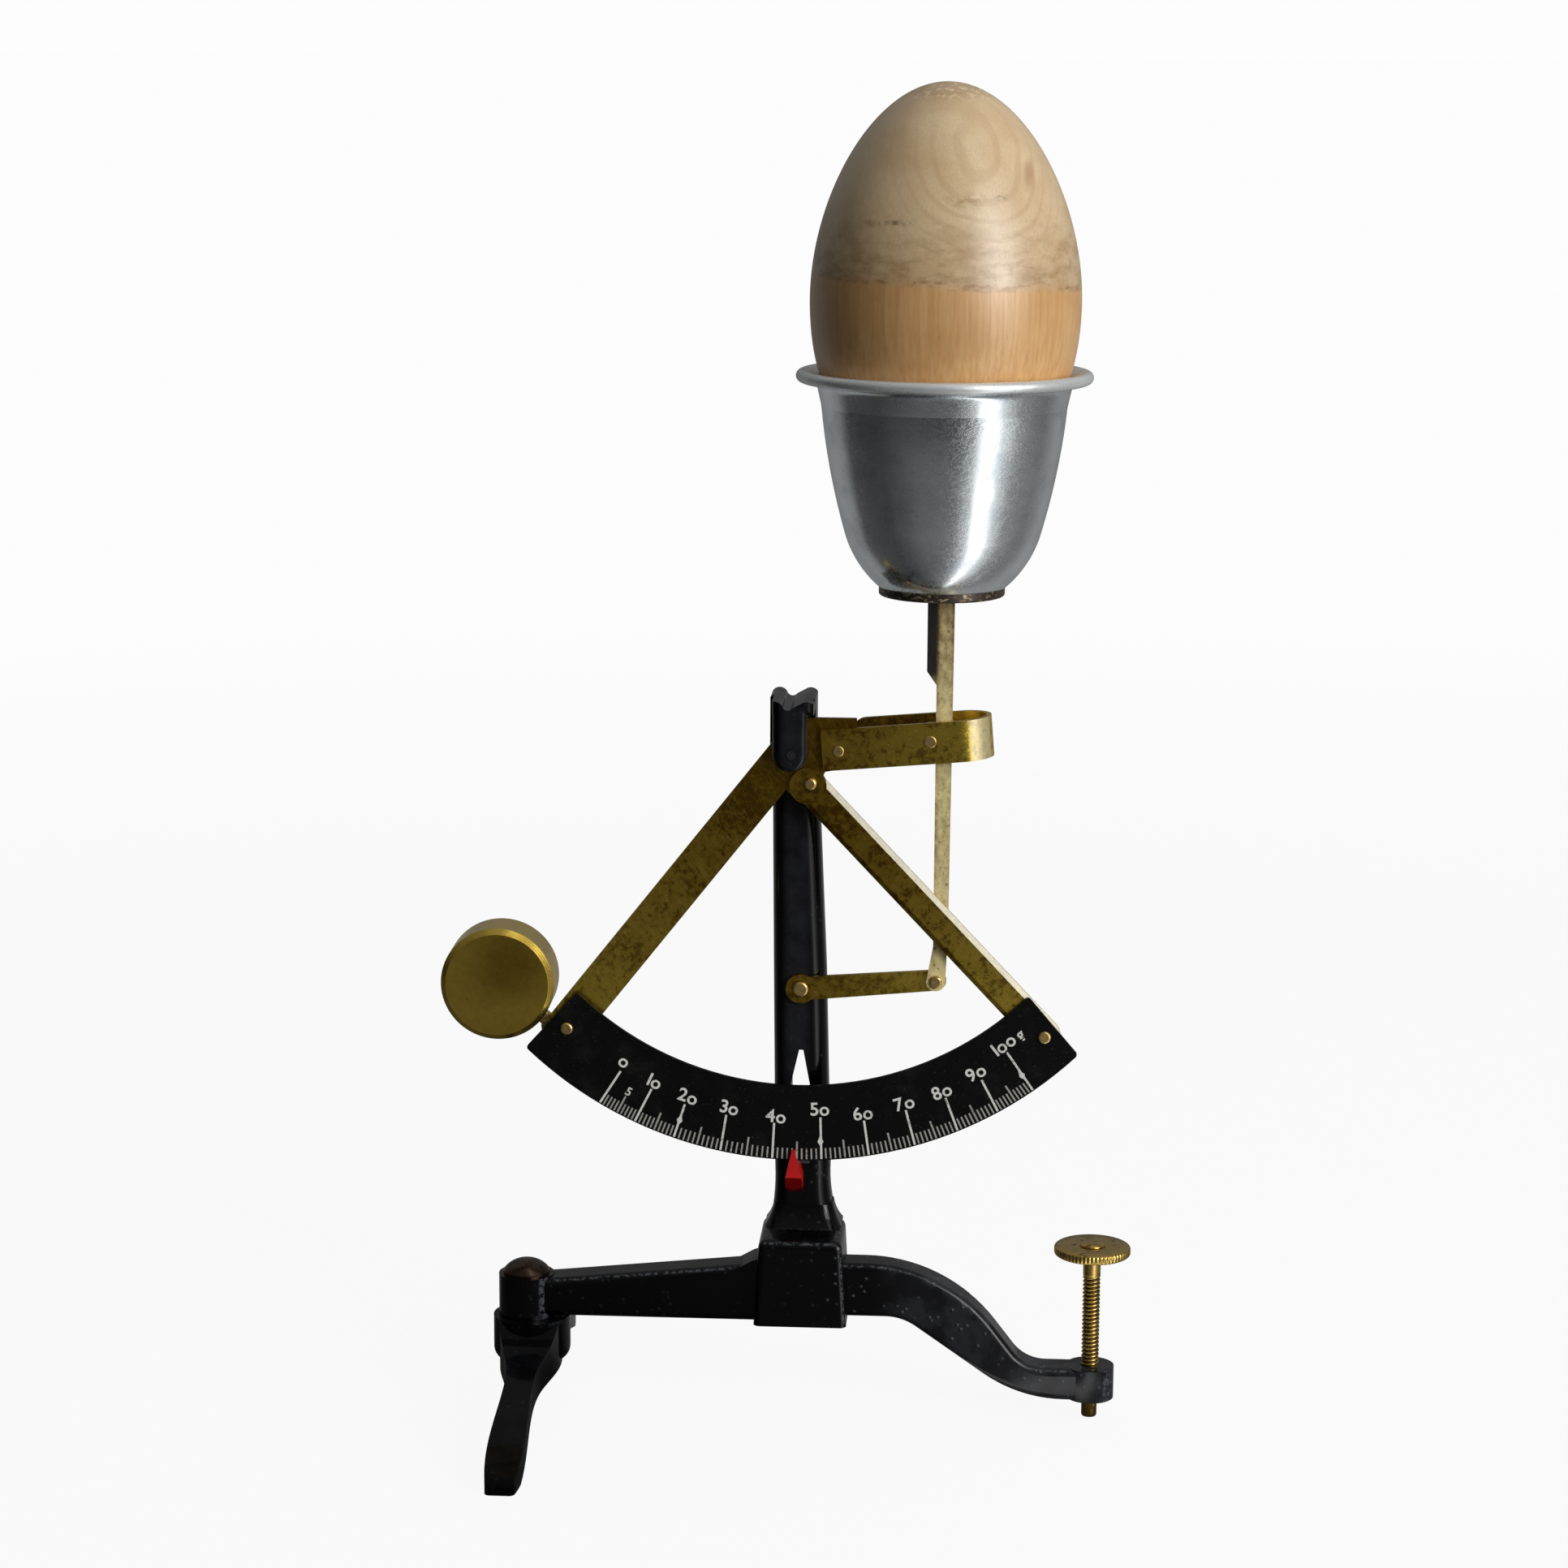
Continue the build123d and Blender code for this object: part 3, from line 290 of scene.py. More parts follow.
def upright_brass(name):
    """Folded strip: paler in its low part, brown stains and freckles, painted shade at both
    sides with a painted highlight down its middle, its wide top darker and painted shadow black
    at its left."""
    skin = Finish(name)
    across, z = skin.axis("X") - UPRIGHT_MIDDLE, skin.axis("Z")
    mottle = skin.noise((1.3, 1.3, 2.0), 5, 0.7)
    freckle = skin.step(skin.noise((0.5, 0.5, 0.7), 2), 0.62, 0.72)
    wide = skin.step(z, UPRIGHT_STEP - 1, UPRIGHT_STEP + 2.5)
    # Painted shade at both sides and a painted highlight down the middle.
    side = skin.step(across * across, 0.1, 1.9)
    darkening = (0.28 * wide * (0.3 + 0.7 * side) + 0.25 * side
           + 0.2 * skin.step(z, 84, 96) + 0.2 * skin.step(z, 117, 140)
           + 1.9 * (mottle - 0.5)).clip()
    colour = skin.mix(darkening, linear(255, 236, 172), linear(112, 76, 30))
    colour = skin.mix(0.7 * freckle, colour, linear(92, 58, 26))
    # Painted shadow: the left of the wide top is black.
    painted_shadow = wide * (1 - skin.step(across, -1.7, -1.0))
    colour = skin.mix(painted_shadow, colour, linear(14, 12, 10))
    rough = (0.36 + 0.15 * darkening + 0.1 * freckle).clip()
    metal = 0.2 - 0.2 * painted_shadow
    return skin.finish(colour, rough, metal, None,
                       skin.bump(mottle - 0.6 * freckle, 0.03, 0.5))


def black_enamel(name, coat=0.42):
    """Black stove enamel on rough cast iron: glossy lumps and small pimples that glint, each
    pimple also painted pale as a painted glint, dust on the tops, a painted sheen greying the
    S-arm in patches, painted highlights broken by grain on the rounded edges of it and the
    block, and a painted highlight line down the middle of the column."""
    skin = Finish(name, IOR=1.5, Specular_IOR_Level=0.04, Coat_Roughness=0.05)
    lumps = skin.noise((2.6, 2.6, 2.6), 2, 0.5)
    grain = skin.noise((0.7, 0.7, 0.7), 3, 0.6)
    apart = skin.node("ShaderNodeTexVoronoi", None, {
        "Vector": skin.place((1.5, 1.5, 1.5)), "Scale": 1.0,
    }, out="Distance")
    worn = skin.step(skin.noise((5, 5, 5)), 0.4, 0.6)
    x, z = skin.axis("X"), skin.axis("Z")
    top = skin.facing("Z")
    # Painted sheen: the S-arm is greyed in patches.
    s_arm_sheen = skin.step(x, 13, 22) * (1 - skin.step(z, BLOCK_TOP + 1.7, BLOCK_TOP + 7.7))
    below = 1 - skin.step(z, COLUMN_LOW - 6, COLUMN_LOW + 4)
    gritty = 0.12 + 0.88 * skin.step(x, 1, 9) * below
    pimple_and_glint = (1 - skin.step(apart, 0.03, 0.28)) * worn * gritty
    # Painted highlight: a lighter line down the middle of the column.
    column_highlight = (1 - skin.step((x - 0.5) * (x - 0.5), 0.5, 9)) * skin.step(z, COLUMN_LOW, 60)
    dust = skin.step(top, 0.6, 1.0) * (0.05 + 0.2 * worn)
    colour = skin.mix(dust, linear(3, 3, 4), linear(24, 26, 30))
    colour = skin.mix(s_arm_sheen * (0.24 + 0.56 * worn) + 0.8 * column_highlight * lumps, colour,
                      linear(48, 49, 53))
    # Painted glint: the pimples are also coloured pale grey.
    colour = skin.mix(0.5 * pimple_and_glint, colour, linear(120, 124, 134))
    # Painted highlight on rounded edges that turn to the front and to the right or up, broken
    # by grain.
    lit_slope = 2 * (-1 * skin.facing("Y")).clip() * skin.facing("X").high(top)
    rim = skin.step(lit_slope, 0.86, 1.0) * skin.step(grain, 0.42, 0.6)
    not_left_beam = skin.step(z, 15, 17).high(skin.step(x, 8, 10))
    in_base = not_left_beam * (1 - skin.step(z, BLOCK_TOP - 0.5, BLOCK_TOP + 0.3))
    colour = skin.mix(0.3 * rim * in_base, colour, linear(130, 134, 142))
    rough = 0.2 + 0.2 * dust + 0.1 * (grain - 0.5) + 0.08 * worn
    height = 0.6 * lumps + 0.25 * grain + 1.9 * pimple_and_glint
    return skin.finish(colour, rough, 0.0, coat, skin.bump(height, 0.22, 0.8))


def red_paint(name):
    """Bright red lacquer, worn thin and brown at its foot."""
    skin = Finish(name, Coat_Roughness=0.2)
    cloud = skin.noise((1.4, 1.4, 1.4))
    low = 1 - skin.step(skin.axis("Z"), POINTER_LOW, POINTER_LOW + 1.8)
    worn = skin.step(cloud + 0.35 * low, 0.6, 0.78)
    colour = skin.mix(worn, linear(206, 22, 20), linear(96, 12, 12))
    return skin.finish(colour, 0.32 + 0.15 * worn, 0.0, 0.4, skin.bump(cloud, 0.05, 0.4))


def rivet_metal(name, bright, dull, size=0.6, least_rough=0.3):
    """Small turned or hammered head: bright crown with brown tarnish in its low places."""
    skin = Finish(name)
    mottle = skin.noise((size, size, size), 4, 0.7)
    stain = skin.step(mottle, 0.42, 0.72)
    colour = skin.mix(stain, linear(*bright), linear(*dull))
    rough = least_rough + 0.2 * stain
    return skin.finish(colour, rough, 1.0, None, skin.bump(mottle, 0.05, 0.5))


def screw_metal(name):
    """Brass-coloured screw stock, tarnished to brown grey in the thread."""
    skin = Finish(name)
    mottle = skin.noise((1.2, 1.2, 1.2), 4, 0.6)
    fine = skin.noise((0.25, 0.25, 0.25), 2)
    radius = skin.reach((SCREW_X, 0, 0), (1, 1, FAR))
    threaded = 1 - skin.step(skin.axis("Z"), THREAD_TOP + 0.6, THREAD_TOP + 1.6)
    groove = (1 - skin.step(radius, 1.2, 1.47)) * threaded
    stain = skin.step(mottle + 0.45 * groove, 0.5, 0.75)
    colour = skin.mix(stain, linear(196, 166, 92), linear(86, 66, 32))
    colour = skin.mix(0.4 * skin.step(fine, 0.6, 0.7), colour, linear(58, 46, 30))
    rough = 0.27 + 0.2 * stain
    return skin.finish(colour, rough, 1.0, None, skin.bump(mottle + 0.4 * fine, 0.03, 0.5))


def weight_brass(name):
    """Turned brass slug: a brown bloom at the upper right of its face, a painted highlight on
    its flank.
    """
    skin = Finish(name)
    x, front, z = WEIGHT
    cloud = skin.noise((6, 6, 6), 4, 0.62)
    mottle = skin.noise((1.1, 1.1, 1.1), 5, 0.65)
    bloom = skin.spot((x + 2.5, front, z + 3.2), 1.0, 9.5)
    radius = skin.reach((x, 0, z), (1, FAR, 1))
    rings = radius.maths("SINE", radius * 22.0)
    darkening = (0.12 + 0.55 * bloom + 0.7 * (cloud - 0.5) + 0.45 * (mottle - 0.5)).clip()
    freckle = skin.step(skin.noise((0.5, 0.5, 0.5), 2), 0.68, 0.76)
    # Painted highlight: faces that turn away from the front are coloured brighter.
    lit_flank = 1 - skin.step(-1 * skin.facing("Y"), 0.4, 0.8)
    colour = skin.mix(darkening, linear(230, 196, 82), linear(124, 94, 26))
    colour = skin.mix(lit_flank, colour, linear(242, 212, 118))
    colour = skin.mix(0.6 * freckle, colour, linear(58, 42, 20))
    rough = 0.22 + 0.1 * darkening + 0.1 * (mottle - 0.5)
    height = 0.5 * mottle + 0.12 * rings
    return skin.finish(colour, rough, 1.0, None, skin.bump(height, 0.02, 0.5))


def dial_enamel(name):
    """Black enamelled plate: faint orange peel, fine dust and rubbed patches."""
    skin = Finish(name, Specular_IOR_Level=0.12, Coat_Roughness=0.25)
    peel = skin.noise((0.8, 0.8, 0.8), 2)
    rubbed = skin.step(skin.noise((6, 6, 6), 5, 0.7), 0.5, 0.72)
    dust = skin.step(skin.noise((0.3, 0.3, 0.3), 1), 0.7, 0.78)
    colour = skin.mix(rubbed, linear(9, 9, 10), linear(22, 21, 20))
    colour = skin.mix(0.3 * dust, colour, linear(110, 106, 98))
    rough = 0.38 + 0.16 * rubbed
    return skin.finish(colour, rough, 0.0, 0.08, skin.bump(peel, 0.03, 0.3))


def dial_print(name, fresh, faded):
    """Print of the marks and numerals, worn through here and there."""
    skin = Finish(name, Specular_IOR_Level=0.3)
    wear = skin.noise((0.45, 0.45, 0.45), 3, 0.7)
    patch = skin.noise((4, 4, 4), 2)
    lost = skin.step(wear + 0.5 * (patch - 0.5), 0.56, 0.72)
    colour = skin.mix(lost, linear(*fresh), linear(*faded))
    return skin.finish(colour, 0.5, 0.0)


def dark_disc(name):
    """Blackened metal washer under the cup, rubbed bright in patches."""
    skin = Finish(name)
    mottle = skin.noise((1.2, 1.2, 0.6), 4, 0.65)
    rubbed = skin.step(mottle, 0.52, 0.66)
    colour = skin.mix(rubbed, linear(62, 54, 44), linear(178, 158, 130))
    return skin.finish(colour, 0.42 + 0.1 * rubbed, 0.6, None, skin.bump(mottle, 0.06, 0.5))


def spun_aluminium(name):
    """Spun aluminium: rings of the lathe, hairline scratches, dull grey bloom, small pits and a
    pale matt bead at the lip."""
    skin = Finish(name)
    rings = skin.noise((60, 60, 0.18), 2, centre=(*CUP_AXIS, 0))
    cloud = skin.noise((8, 8, 6), 5, 0.6)
    smear = skin.noise((1.6, 1.6, 1.0), 4, 0.7)
    lines = skin.scratches(3.2, 0.1, [(0, 12, 0), (0, -24, 8), (0, 70, 0), (10, -64, 0)], 0.62)
    pits = skin.step(skin.noise((0.5, 0.5, 0.5), 1), 0.74, 0.8)
    bloom = skin.step(cloud, 0.35, 0.75)
    bead = skin.step(skin.axis("Z"), CUP_LIP - 2.4, CUP_LIP - 1.5)
    colour = skin.mix(bloom, linear(230, 236, 238), linear(198, 206, 212))
    colour = skin.mix(0.3 * lines, colour, linear(246, 248, 250))
    colour = skin.mix(0.6 * pits, colour, linear(96, 98, 102))
    colour = skin.mix(0.5 * bead, colour, linear(244, 244, 240))
    rough = (0.11 + 0.08 * bloom + 0.12 * (smear - 0.5) + 0.14 * lines).clip() + 0.14 * bead
    height = 0.4 * rings + 0.25 * smear - 0.4 * lines - 1.0 * pits
    return skin.finish(colour, rough, 1 - 0.45 * bead, None, skin.bump(height, 0.012, 0.6))


def maple_wood(name):
    """Turned maple: year rings round a flat spot at the upper right, straight grain below the
    seam, handling marks above it. The rings are a sine of the depth along a leaning axis."""
    skin = Finish(name, Specular_IOR_Level=0.7, Coat_Roughness=0.28)
    x, y = CUP_AXIS
    flat_x, flat_z = x + 7, EGG_SEAM + 15.1
    height_here = skin.axis("Z")
    front = 1 - skin.step(skin.axis("Y"), y - 3, y + 1)
    sway = skin.noise((14, 14, 18), 2)
    cloud = skin.noise((11, 11, 9), 4)
    rings_at = skin.place(turn=(52, 0, 22), centre=(flat_x, y - 14, flat_z))
    deep = skin.node("ShaderNodeSeparateXYZ", None, {"Vector": rings_at}, out="Z")
    phase = deep * 5.0 + 13 * sway + 4 * (cloud - 0.5)
    near = skin.spot((flat_x, y - 18, flat_z), 5, 20)
    ring_lines = skin.step(phase.maths("SINE", phase), 0.2, 1.0) * (0.05 + 0.3 * near)
    straight = skin.noise((0.7, 0.7, 22), 4, 0.6)
    fine = skin.noise((0.28, 0.28, 7), 3, 0.6, (0, 14, 0))
    pores = skin.step(skin.noise((0.16, 0.16, 2.6), 2), 0.62, 0.72)
    smudge = skin.noise((4.2, 4.2, 1.8), 6, 0.66)
    rise = height_here - (EGG_SEAM - 0.05 * (skin.axis("X") - x) + 1.4 * (sway - 0.5)
                          + 1.6 * (smudge - 0.5))
    low = 1 - skin.step(rise, -1.0, 1.2)
    upper = skin.mix(ring_lines, linear(228, 202, 160), linear(186, 148, 102))
    upper = skin.mix(0.25 * skin.step(fine, 0.4, 0.65), upper, linear(196, 160, 112))
    upper = skin.mix(0.5 * skin.step(cloud, 0.42, 0.75), upper, linear(196, 156, 106))
    lower = skin.mix(skin.step(straight, 0.3, 0.75), linear(230, 184, 126),
                     linear(210, 158, 98))
    lower = skin.mix(0.35 * skin.step(cloud, 0.45, 0.7), lower, linear(196, 142, 84))
    colour = skin.mix(low, upper, lower)
    band = skin.step(rise, -0.8, 0.6) * (1 - skin.step(height_here, EGG_SEAM + 1.1, flat_z))
    grime = (band * (0.25 + skin.step(smudge, 0.38, 0.7))).clip()
    colour = skin.mix(0.55 * grime, colour, linear(150, 106, 56))
    seam = 1 - skin.step(rise * rise, 0.02, 0.5)
    colour = skin.mix(0.4 * seam * skin.step(smudge, 0.42, 0.6), colour, linear(120, 80, 40))
    colour = skin.mix(0.25 * pores, colour, linear(146, 106, 64))
    scuff = front * skin.step(skin.noise((1.3, 1.3, 0.9), 4, 0.6), 0.36, 0.62)
    dark = (skin.spot((x - 7.4, y - 19, 203.6), 0.3, 1.0, (3.2, 6, 0.55))
            .high(skin.spot((x + 8.8, y - 16.5, 207.6), 0.2, 1.0, (1.5, 6, 0.8))))
    pale = (skin.spot((x - 11.5, y - 18, 203.4), 0.2, 1.0, (4.4, 6, 1.0))
            .high(skin.spot((x + 3.6, y - 17.5, 207.0), 0.2, 1.0, (5.4, 6, 1.9))))
    colour = skin.mix(0.5 * pale * scuff, colour, linear(150, 106, 56))
    colour = skin.mix(0.75 * dark * scuff, colour, linear(84, 56, 28))
    streak = skin.spot((x + 13.2, y - 12, 211.5), 0.2, 1.0, (1.3, 6, 3.4))
    colour = skin.mix(0.5 * streak, colour, linear(168, 108, 74))
    apex = skin.step(height_here, EGG_TOP - 3.4, EGG_TOP - 1.6)
    chips = skin.step(skin.noise((0.9, 0.9, 0.9)), 0.5, 0.6)
    colour = skin.mix(0.7 * apex * chips, colour, linear(236, 212, 170))
    colour = skin.mix(0.35 * apex * (1 - chips), colour, linear(160, 118, 74))
    rough = (0.36 + 0.04 * low + 0.14 * (smudge - 0.5) + 0.25 * apex * chips).clip()
    height = 0.3 * straight + 0.15 * fine - 0.4 * pores + 0.7 * apex * chips + 0.3 * grime
    return skin.finish(colour, rough, 0.0, 0.3, skin.bump(height, 0.05, 0.5))


def surface(name, points, faces, finish, body, smooth=True):
    """A new piece from an array of points in mm and its faces, riding on a body."""
    mesh = bpy.data.meshes.new(name)
    mesh.from_pydata((np.asarray(points) * MM).tolist(), [], faces)
    mesh.validate()
    mesh.shade_smooth() if smooth else mesh.shade_flat()
    mesh.materials.append(finish)
    piece = bpy.data.objects.new(name, mesh)
    bpy.context.scene.collection.objects.link(piece)
    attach(piece, body)
    return piece


def ring_faces(rings, spokes):
    """Quads between closed rings of this many points each."""
    ring, spoke = np.meshgrid(np.arange(rings - 1), np.arange(spokes), indexing="ij")
    after = (spoke + 1) % spokes
    corners = (ring * spokes + spoke, ring * spokes + after,
               (ring + 1) * spokes + after, (ring + 1) * spokes + spoke)
    return np.stack(corners, axis=-1).reshape(-1, 4).tolist()


def turned_surface(name, heights, radii, finish):
    """A round piece on the screw axis: row i is a circle, or a wavy ring, of radii[i]."""
    around = np.linspace(0, 2 * pi, radii.shape[1], endpoint=False)
    x = SCREW_X + radii * np.cos(around)
    y = radii * np.sin(around)
    z = np.broadcast_to(heights[:, None], radii.shape)
    points = np.stack([x, y, z], axis=-1).reshape(-1, 3)
    faces = ring_faces(*radii.shape)
    return surface(name, points, faces, finish, "levelling_screw")


def levelling_thread(finish):
    """Screw with plain ends: radius falls by a V along z minus pitch times the turn."""
    pitch, depth, crest_r, tip_r = 0.7, 0.34, 1.5, 1.32
    thread_low, run_out = 4.2, 0.8
    tip_top, neck_top, head_top = 3.4, 30.5, 31.0
    spokes, rings = 40, 300
    around = np.linspace(0, 2 * pi, spokes, endpoint=False)
    z = np.concatenate([
        [0.0, 0.0, 0.12, 0.4], np.linspace(0.6, tip_top - 0.1, 4), [tip_top],
        np.linspace(tip_top + 0.1, neck_top, rings),
        [neck_top + 0.001, head_top - 0.35, head_top - 0.1, head_top, head_top],
    ])
    plain = np.interp(z, [0, 0.0001, 0.12, 0.4, tip_top, tip_top + 0.1, neck_top],
                      [0.0, 0.9, 1.2, tip_r, tip_r, crest_r, crest_r])
    plain[-5:] = [2.1, 2.08, 1.8, 1.3, 0.0]
    phase = (z[:, None] / pitch - around[None, :] / (2 * pi)) % 1.0
    groove = depth * (1 - np.abs(2 * phase - 1) * 1.25).clip(0, 1)
    fade = ((z - thread_low) / run_out).clip(0, 1) * ((THREAD_TOP - z) / run_out).clip(0, 1)
    radii = plain[:, None] - groove * fade[:, None]
    thread = turned_surface("levelling_thread", z, radii, finish)
    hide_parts("levelling_screw")


def knurled_wheel(finish):
    """Thumb wheel: its rim radius swings with the cosine of many turns, tops chamfered."""
    low, thick, reach, bore = 29.0, 1.5, 6.5, 1.5
    teeth, steps, depth = 60, 6, 0.14
    around = np.linspace(0, 2 * pi, teeth * steps, endpoint=False)
    wave = depth * (0.5 - 0.5 * np.cos(teeth * around))
    z = low + np.array([0, 0, 0, 0.12, 0.3, thick - 0.3, thick - 0.12, thick, thick, thick,
                        thick, 0])
    level = np.array([bore, 2.6, reach - 0.34, reach - 0.12, reach, reach, reach - 0.12,
                      reach - 0.34, 4.3, 2.6, bore, bore])
    cut = np.array([0, 0, 0, 0.6, 1, 1, 0.6, 0, 0, 0, 0, 0])
    radii = level[:, None] - cut[:, None] * wave[None, :]
    wheel = turned_surface("knurled_wheel", z, radii, finish)
    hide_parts("thumb_wheel")


# Strokes at the tens: grams, angle from straight down and radius of the inner end, and angle
# of the outer end, which is at the rim
TEN_GRAM_MARKS = (
    (0, -30.39, 59.55, -30.60), (10, -24.59, 59.81, -24.79), (20, -18.66, 60.12, -18.62),
    (30, -11.76, 59.91, -11.50), (40, -3.90, 60.02, -3.80), (50, 3.65, 58.83, 3.44),
    (60, 10.66, 60.14, 10.45), (70, 17.63, 59.90, 17.38), (80, 24.36, 60.17, 24.01),
    (90, 30.89, 60.08, 30.58), (100, 36.88, 58.34, 36.61),
)
# Numerals: text, angle and radius of the middle
NUMERAL_PLACES = (
    ("0", -30.75, 58.1), ("10", -24.63, 58.4), ("20", -18.61, 58.6), ("30", -11.5, 58.5),
    ("40", -3.72, 58.8), ("50", 3.61, 57.4), ("60", 10.66, 58.85), ("70", 17.7, 58.7),
    ("80", 24.19, 58.9), ("90", 30.65, 58.5), ("100 g", 38.14, 57.2), ("5", -27.65, 62.0),
)
FIGURE_HEIGHT, FIVE_HEIGHT = 2.3, 1.5
# How far the print stands in front of the dial, and where the small diamonds are
STROKE_LIFT, NUMERAL_LIFT, DIAMOND_LIFT = 0.02, 0.025, 0.03
DIAMOND_RADIUS = 63.1
DIAMOND_CORNERS = ((-1.2, 0), (0, 0.5), (0.9, 0), (0, -0.5))


def on_dial(angle, radius):
    """Point on the dial face at an angle from straight down and a radius, in mm."""
    turn = np.radians(angle)
    x = DIAL_CENTRE[0] + radius * np.sin(turn)
    z = DIAL_CENTRE[1] - radius * np.cos(turn)
    return x, z


def mark_strips(name, strips, finish, diamonds=()):
    """Flat strokes on the dial: rows of inner angle and radius, outer angle and radius, half
    width, each a four-cornered strip; small diamonds at given angles."""
    corners = []
    for side in (-1, 1):
        for angle, radius in ((strips[:, 0], strips[:, 1]), (strips[:, 2], strips[:, 3])):
            x, z = on_dial(angle, radius)
            turn = np.radians(angle)
            shift = side * strips[:, 4]
            depth = np.full_like(x, DIAL_FRONT - STROKE_LIFT)
            corners.append(np.stack([x + shift * np.cos(turn), depth,
                                     z + shift * np.sin(turn)], axis=-1))
    points = np.stack(corners, axis=1).reshape(-1, 3).tolist()
    faces = [[4 * row, 4 * row + 2, 4 * row + 3, 4 * row + 1] for row in range(len(strips))]
    for angle in diamonds:
        turn = radians(angle)
        faces.append(list(range(len(points), len(points) + 4)))
        for reach, side in DIAMOND_CORNERS:
            x, z = on_dial(angle, DIAMOND_RADIUS + reach)
            points.append((x + side * cos(turn), DIAL_FRONT - DIAMOND_LIFT,
                           z + side * sin(turn)))
    surface(name, points, faces, finish, "beam", smooth=False)


def dial_marks(white, grey):
    """Long strokes at the tens with diamonds at 20, 50 and 100; grey ticks at five grams and at
    each gram along the rim, their angles between those of the tens."""
    rim = DIAL_EDGE - 0.22
    ten_half, five_half, gram_half = 0.19, 0.16, 0.14
    five_inner, gram_inner = 63.0, 64.25
    tens = np.array(TEN_GRAM_MARKS)
    strokes = np.column_stack([tens[:, 1:], np.full(len(tens), rim),
                               np.full(len(tens), ten_half)])
    mark_strips("dial_marks", strokes, white, tens[[2, 5, 10], 3])
    grams = np.arange(0, 101)
    grams = grams[grams % 10 > 0]
    angles = np.interp(grams, tens[:, 0], tens[:, 3])
    fives = grams % 5 == 0
    ticks = np.column_stack([angles, np.where(fives, five_inner, gram_inner), angles,
                             np.full(len(grams), rim), np.where(fives, five_half, gram_half)])
    mark_strips("dial_ticks", ticks, grey)


def numeral_shape(letter, height):
    """One flat letter as points and faces, the given height for a full figure."""
    figure_share, boldness = 0.73, 0.026
    curve = bpy.data.curves.new("numeral_outline", "FONT")
    curve.body = letter
    curve.size = height / figure_share
    curve.offset = boldness * height
    holder = bpy.data.objects.new("numeral_outline", curve)
    bpy.context.scene.collection.objects.link(holder)
    mesh = bpy.data.meshes.new_from_object(
        holder.evaluated_get(bpy.context.evaluated_depsgraph_get()))
    points = np.empty(len(mesh.vertices) * 3, np.float32)
    mesh.vertices.foreach_get("co", points)
    faces = [list(face.vertices) for face in mesh.polygons]
    bpy.data.objects.remove(holder)
    bpy.data.curves.remove(curve)
    bpy.data.meshes.remove(mesh)
    return points.reshape(-1, 3)[:, :2].astype(float), faces


def numeral_row(text, height):
    """A numeral of large leading figures and small round noughts, centred on its middle."""
    space, gap, unit_size, small_drop = 0.35, 0.2, 0.85, 0.08
    points, faces, cursor, count = [], [], 0.0, 0
    for place, letter in enumerate(text):
        if letter == " ":
            cursor += space
            continue
        shape, parts = numeral_shape("o" if letter == "0" else letter, height)
        if letter == "g":
            shape = shape * unit_size
        if letter in "0g" and place > 0:
            shape[:, 1] -= small_drop
        low, high = shape[:, 0].min(), shape[:, 0].max()
        shape[:, 0] += cursor - low
        cursor += high - low + gap
        points.append(shape)
        faces += [[corner + count for corner in part] for part in parts]
        count += len(shape)
    points = np.concatenate(points)
    middle = (points.min(axis=0) + points.max(axis=0)) / 2
    return points - middle, faces


def dial_numerals(finish):
    """Numerals set round the arc, each upright along its own radius."""
    points, faces, count = [], [], 0
    for text, angle, radius in NUMERAL_PLACES:
        shape, parts = numeral_row(text, FIVE_HEIGHT if text == "5" else FIGURE_HEIGHT)
        x, z = on_dial(angle, radius)
        turn = radians(angle)
        across = x + shape[:, 0] * cos(turn) - shape[:, 1] * sin(turn)
        up = z + shape[:, 0] * sin(turn) + shape[:, 1] * cos(turn)
        depth = np.full_like(across, DIAL_FRONT - NUMERAL_LIFT)
        points.append(np.stack([across, depth, up], axis=-1))
        faces += [[corner + count for corner in part] for part in parts]
        count += len(shape)
    surface("dial_numerals", np.concatenate(points), faces, finish, "beam",
            smooth=False)


# Finishes, one for each kind of surface; brass strips with their ends of painted shade and
# light, lean, darkness, stains, highlight share
enamel = black_enamel("black_enamel")
screw = screw_metal("screw_metal")
rivet = rivet_metal("rivet_brass", (226, 196, 128), (120, 88, 48))
FINISHES = {
    "base_casting": enamel,
    "column": enamel,
    "cross_foot": black_enamel("foot_enamel", coat=0.16),
    "index_pointer": red_paint("red_paint"),
    "foot_rivet": rivet_metal("dark_rivet", (74, 58, 50), (24, 20, 20), 1.6, 0.24),
    "levelling_screw": screw,
    "thumb_wheel": screw,
    "left_arm": brass("left_arm_brass", LEFT_ARM_HIGH, LEFT_ARM_LOW, 52, 0.45, 0.5),
    "right_arm": brass("right_arm_brass", RIGHT_ARM_HIGH, RIGHT_ARM_LOW, -48, 0.32, 0.6, 1),
    "fork": brass("fork_brass", FORK_LEFT, FORK_RIGHT, 0, 0.2, 0.55, 0.6),
    "upright": upright_brass("upright_brass"),
    "link": brass("link_brass", LINK_LEFT, LINK_RIGHT, -5, 0.35, 0.4),
    "dial": dial_enamel("dial_enamel"),
    "beam_axle": rivet_metal("steel_pin", (96, 96, 98), (40, 38, 38)),
    "counterweight": weight_brass("weight_brass"),
    "cup_disc": dark_disc("dark_disc"),
    "cup": spun_aluminium("spun_aluminium"),
    "cup_rivet": rivet_metal("cup_rivet_metal", (190, 192, 196), (110, 110, 112)),
    "wooden_egg": maple_wood("maple_wood"),
}
FINISHES.update(dict.fromkeys((
    "link_rivet", "dial_spacer", "left_dial_rivet", "right_dial_rivet", "fork_rivet",
    "right_arm_rivet", "fork_pin", "link_pin", "counterweight_stud"), rivet))
for node_name, node in NODES.items():
    node.data.materials.clear()
    node.data.materials.append(FINISHES[node_name])

